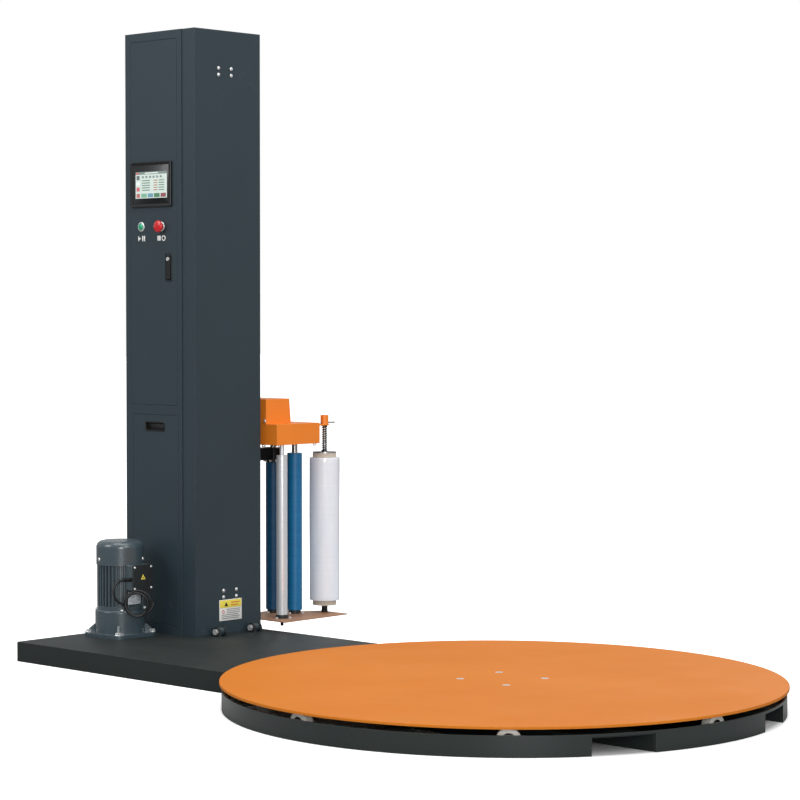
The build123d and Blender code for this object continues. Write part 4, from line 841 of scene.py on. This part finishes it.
def makeWheels(wheels):
    # tyre and hub profiles turned round each axle, which points out from the table's middle
    radius, half = wheels["radius"], wheels["half"]
    tyre = turned([(wheels["hub"], -half), (radius - 0.0016, -half), (radius - 0.0004, -half + 0.0008),
                   (radius, -half + 0.0022), (radius, half - 0.0022), (radius - 0.0004, half - 0.0008),
                   (radius - 0.0016, half), (wheels["hub"], half)], 64)
    disc = turned([(wheels["bore"], -half + 0.0012), (0.0100, -half + 0.0012), (0.0104, -half + 0.0030),
                   (0.0168, -half + 0.0030), (0.0174, -half + 0.0006),
                   (wheels["hub"] + 0.0003, -half + 0.0006), (wheels["hub"] + 0.0003, half - 0.0006),
                   (0.0174, half - 0.0006), (0.0168, half - 0.0030), (0.0104, half - 0.0030),
                   (0.0100, half - 0.0012), (wheels["bore"], half - 0.0012)], 48)
    turns = wheels["first"] + 45 * np.array(wheels["places"])
    ring = ringOf((0, 0), wheels["reach"], turns, wheels["height"])
    for number, (where, out, aside) in enumerate(ring, 1):
        parts = [shell(seat(tyre, where, aside, (0, 0, 1)), 0, loop=True),
                 shell(seat(disc, where, aside, (0, 0, 1)), 1, loop=True)]
        makePiece(f"rollingWheel{number}", parts, ["whiteTyre", "blackPlastic"], f"support_wheel_{number}",
                  shown=[f"support_wheel_{number}"])


makeWheels(wheels)

# carriage: spring over the spindle, wound as a real coil
spring = {"axis": (-1.400, 0.694), "low": 0.6598, "high": 0.7520, "radius": 0.0091, "wire": 0.0017,
          "turns": 13}


def makeSpring(spring):
    # the coil rises fast in the middle and lies flat over the last turn at each end
    share = np.linspace(0, 1, spring["turns"] * 22)
    fromEnd = np.minimum(share, 1 - share) * spring["turns"]
    slope = 0.18 + 0.82 * np.clip((fromEnd - 0.7) / 0.6, 0, 1)
    rise = np.concatenate([[0], np.cumsum((slope[1:] + slope[:-1]) / 2)])
    tall = spring["high"] - spring["low"] - 2 * spring["wire"]
    height = spring["low"] + spring["wire"] + tall * rise / rise[-1]
    angle = 2 * math.pi * spring["turns"] * share + 2.2
    out = np.stack([np.cos(angle), np.sin(angle), np.zeros_like(angle)], -1)
    path = out * spring["radius"] + (*spring["axis"], 0)
    path[:, 2] = height
    coil = makePiece("spindleCoil", [shell(tubeAlong(path, out, spring["wire"], 10))], ["darkSteel"],
                     "carriage", shown=["spindle_spring"])
    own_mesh(coil)


makeSpring(spring)
print("wheels and spring made")

# carriage: the roll of film, wound a little unevenly
film = {"axis": (-1.400, 0.694), "low": 0.140, "high": 0.640, "radius": 0.0535, "core": 0.0416,
        "around": 112, "rows": 150, "rings": 22}


def makeFilm(film):
    # rings of the outer skin: radius = roll + slow bands along the height + faint swell round the roll
    angle = 2 * math.pi * np.arange(film["around"]) / film["around"]
    share = np.linspace(0, 1, film["rows"])
    height = film["low"] + (film["high"] - film["low"]) * share
    band = 0.00004 * np.sin(share * 41 + 1.3) + 0.00002 * np.sin(share * 97 + 0.4)
    up = share[:, None]
    swell = 0.00030 * np.sin(3 * angle[None] + up * 5) + 0.00018 * np.sin(7 * angle[None] - up * 11)
    edge = -0.0009 * np.exp(-np.minimum(share, 1 - share) * 160)
    outer = film["radius"] - 0.0007 + band[:, None] + swell + edge[:, None]
    # end faces: fine rings of the wound layers, every other ring a little lower
    inward = np.linspace(0.97, 0, film["rings"])
    depth = np.where(np.arange(film["rings"]) % 2 == 0, 0.0, 0.00045) + 0.0006 * (1 - inward)
    inner = film["core"] + (outer[-1][None] - film["core"]) * inward[:, None]
    innerLow = film["core"] + (outer[0][None] - film["core"]) * inward[::-1, None]
    reach = np.concatenate([outer, inner, innerLow])
    height = np.concatenate([height, film["high"] - depth, film["low"] + depth[::-1]])
    grid = np.stack([reach * np.cos(angle), reach * np.sin(angle),
                     np.repeat(height[:, None], film["around"], 1)], -1) + (*film["axis"], 0)
    makePiece("filmRoll", [shell(grid, loop=True)], ["filmSkin"], "film_roll", sharp=50,
              shown=["film_wrap"])


makeFilm(film)

# carriage: bearing bolts with their nuts and studs, clutch screws, housing screws
carriage = {
    "rollers": ((-1.444, 0.590), (-1.5164, 0.556), (-1.380, 0.464)), "plate": (0.093, 0.097),
    "boltRing": 0.0275, "boltTurns": (35, 155, 275), "housing": (-1.590, -1.350, 0.411, 0.619, 0.694, 0.765),
    "tower": (-1.545, -1.403, 0.411), "clutch": (-1.5164, 0.556, 0.030, 0.631),
    "clutchTurns": (-100, -62, -24, 40, 100, 160, 220),
}


def makeCarriageDetails(carriage):
    low, high = carriage["plate"]
    heads, nuts = [], []
    shank = shell(turned([(0.0055, 0.006), (0.0055, 0.0210), (0.0045, 0.0220)], 20))
    stud = hexBolt(0.0095, 0.0080) + [shank]
    for axis in carriage["rollers"]:
        for where, out, aside in ringOf(axis, carriage["boltRing"], carriage["boltTurns"], high):
            heads += spread(hexBolt(0.0052, 0.0050), [where], **upward)
            nuts += spread(hexBolt(0.0052, 0.0045), [(*where[:2], low)], **downward)
        nuts += spread(stud, [(*axis, low)], **downward, finish=1)
    makePiece("bearingBolts", heads + nuts, ["zincSteel", "darkSteel"], "carriage")
    x, y, reach, height = carriage["clutch"]
    heads = []
    for where, out, aside in ringOf((x, y), reach, carriage["clutchTurns"], height):
        heads += spread(socketScrew(0.0045, 0.0040), [where], aside, (0, 0, 1))
    makePiece("clutchScrews", heads, ["zincSteel"], "rear_roller")
    x0, x1, y0, y1, z0, z1 = carriage["housing"]
    towerLeft, towerRight, towerFront = carriage["tower"]
    beside = [(x, towerFront, z1 + 0.010) for x in (towerLeft + 0.006, towerRight - 0.006)]
    heads = spread(domeScrew(0.0058, 0.0036), beside, **front)
    under = [(x1 - 0.012, y0 + 0.013, z0), (x1 - 0.078, y0 + 0.013, z0), (x0 + 0.012, y0 + 0.013, z0),
             (x1 - 0.012, y1 - 0.013, z0), (x0 + 0.012, y1 - 0.013, z0)]
    heads += spread(hexBolt(0.0068, 0.0075), under, **downward)
    makePiece("housingScrews", heads, ["zincSteel"], "carriage")


makeCarriageDetails(carriage)

# carriage: knurled dark collar round the stub that the film stands on
collar = {"axis": (-1.400, 0.694), "low": 0.0971, "high": 0.1216, "radius": 0.01, "grooves": 12}


def makeFilmCollar(collar):
    # profile with grooves turned round the film's axis
    radius, low, high = collar["radius"], collar["low"], collar["high"]
    count, bevel, outer = collar["grooves"], 0.0006, radius + 0.0012
    grooves = [(outer - 0.0007 * (k % 2), low + 0.003 + (high - low - 0.006) * k / count)
               for k in range(count + 1)]
    foot = [(radius - 0.002, low), (outer - bevel, low), (outer, low + bevel)]
    rim = [(outer, high - bevel), (outer - bevel, high), (radius - 0.002, high)]
    grid = turned(foot + grooves + rim, 48)
    makePiece("filmCollar", [shell(grid + np.array((*collar["axis"], 0)))], ["darkSteel"], "carriage")


makeFilmCollar(collar)
print("carriage fitted")

# studio: white floor that fades into a white surround, a large lamp overhead and four round the machine
studio = {
    "floor": 40.0, "floorColor": rgb(236, 236, 235), "bounceColor": rgb(150, 150, 150), "near": 0.66,
    "under": (0.80, 0.84), "fade": (1.6, 3.6), "seen": 1.0, "surround": 0.46,
    "lamps": (("overhead", (-0.5, -0.4, 5.2), (-0.8, 0.1, 0.3), 4.5, 160),
              ("keySide", (-3.6, -5.6, 4.6), (-1.2, 0, 2.1), 3.0, 150),
              ("fillSide", (5.6, -1.2, 4.2), (-1.0, 0.1, 2.1), 3.0, 120),
              ("backSide", (-1.5, 5.5, 4.0), (-1.0, 0, 1.0), 4.0, 100),
              ("nearSide", (6.8, -6.2, 1.9), (-1.4, 0.4, 0.9), 3.2, 330)),
}


def makeStudio(studio):
    reach = studio["floor"]
    mesh = bpy.data.meshes.new("studioFloor")
    mesh.from_pydata([(-reach, -reach, 0), (reach, -reach, 0), (reach, reach, 0), (-reach, reach, 0)], [],
                     [(0, 1, 2, 3)])
    floor = bpy.data.objects.new("studioFloor", mesh)
    scene.collection.objects.link(floor)
    # seen directly it glows up to white away from the machine; for bounced light it is a plain grey
    material, tree, shader, coords = startMaterial("studioFloor")
    away = addNode(tree, "VectorMath", {0: coords}, operation="LENGTH").outputs["Value"]
    seen = addNode(tree, "LightPath").outputs["Is Camera Ray"]
    tree.links.new(mixColor(tree, seen, studio["bounceColor"], studio["floorColor"]),
                   shader.inputs["Base Color"])
    glow = product(tree, mapRange(tree, away, *studio["under"], 0, 1),
                   mapRange(tree, away, *studio["fade"], studio["near"], 1))
    glow = product(tree, seen, glow)
    tree.links.new(glow, shader.inputs["Emission Strength"])
    setShader(shader, Roughness=0.9, Specular_IOR_Level=0.0, Emission_Color=(1, 1, 1, 1))
    mesh.materials.append(material)
    world = bpy.data.worlds.new("studioSurround")
    scene.world = world
    world.use_nodes = True
    tree = world.node_tree
    tree.nodes.clear()
    seen = addNode(tree, "Background", {0: (1, 1, 1, 1), 1: studio["seen"]})
    lit = addNode(tree, "Background", {0: (0.96, 0.98, 1, 1), 1: studio["surround"]})
    path = addNode(tree, "LightPath")
    both = addNode(tree, "MixShader", {0: path.outputs["Is Camera Ray"], 1: lit.outputs[0],
                                       2: seen.outputs[0]})
    end = tree.nodes.new("ShaderNodeOutputWorld")
    tree.links.new(both.outputs[0], end.inputs[0])
    for name, where, aim, size, power in studio["lamps"]:
        data = bpy.data.lights.new(name, "AREA")
        data.size, data.energy = size, power
        lamp = bpy.data.objects.new(name, data)
        lamp.location = where
        lamp.rotation_euler = (Vector(aim) - Vector(where)).to_track_quat("-Z", "Y").to_euler()
        scene.collection.objects.link(lamp)
    scene.view_settings.view_transform = "Standard"


makeStudio(studio)
print("studio lit")
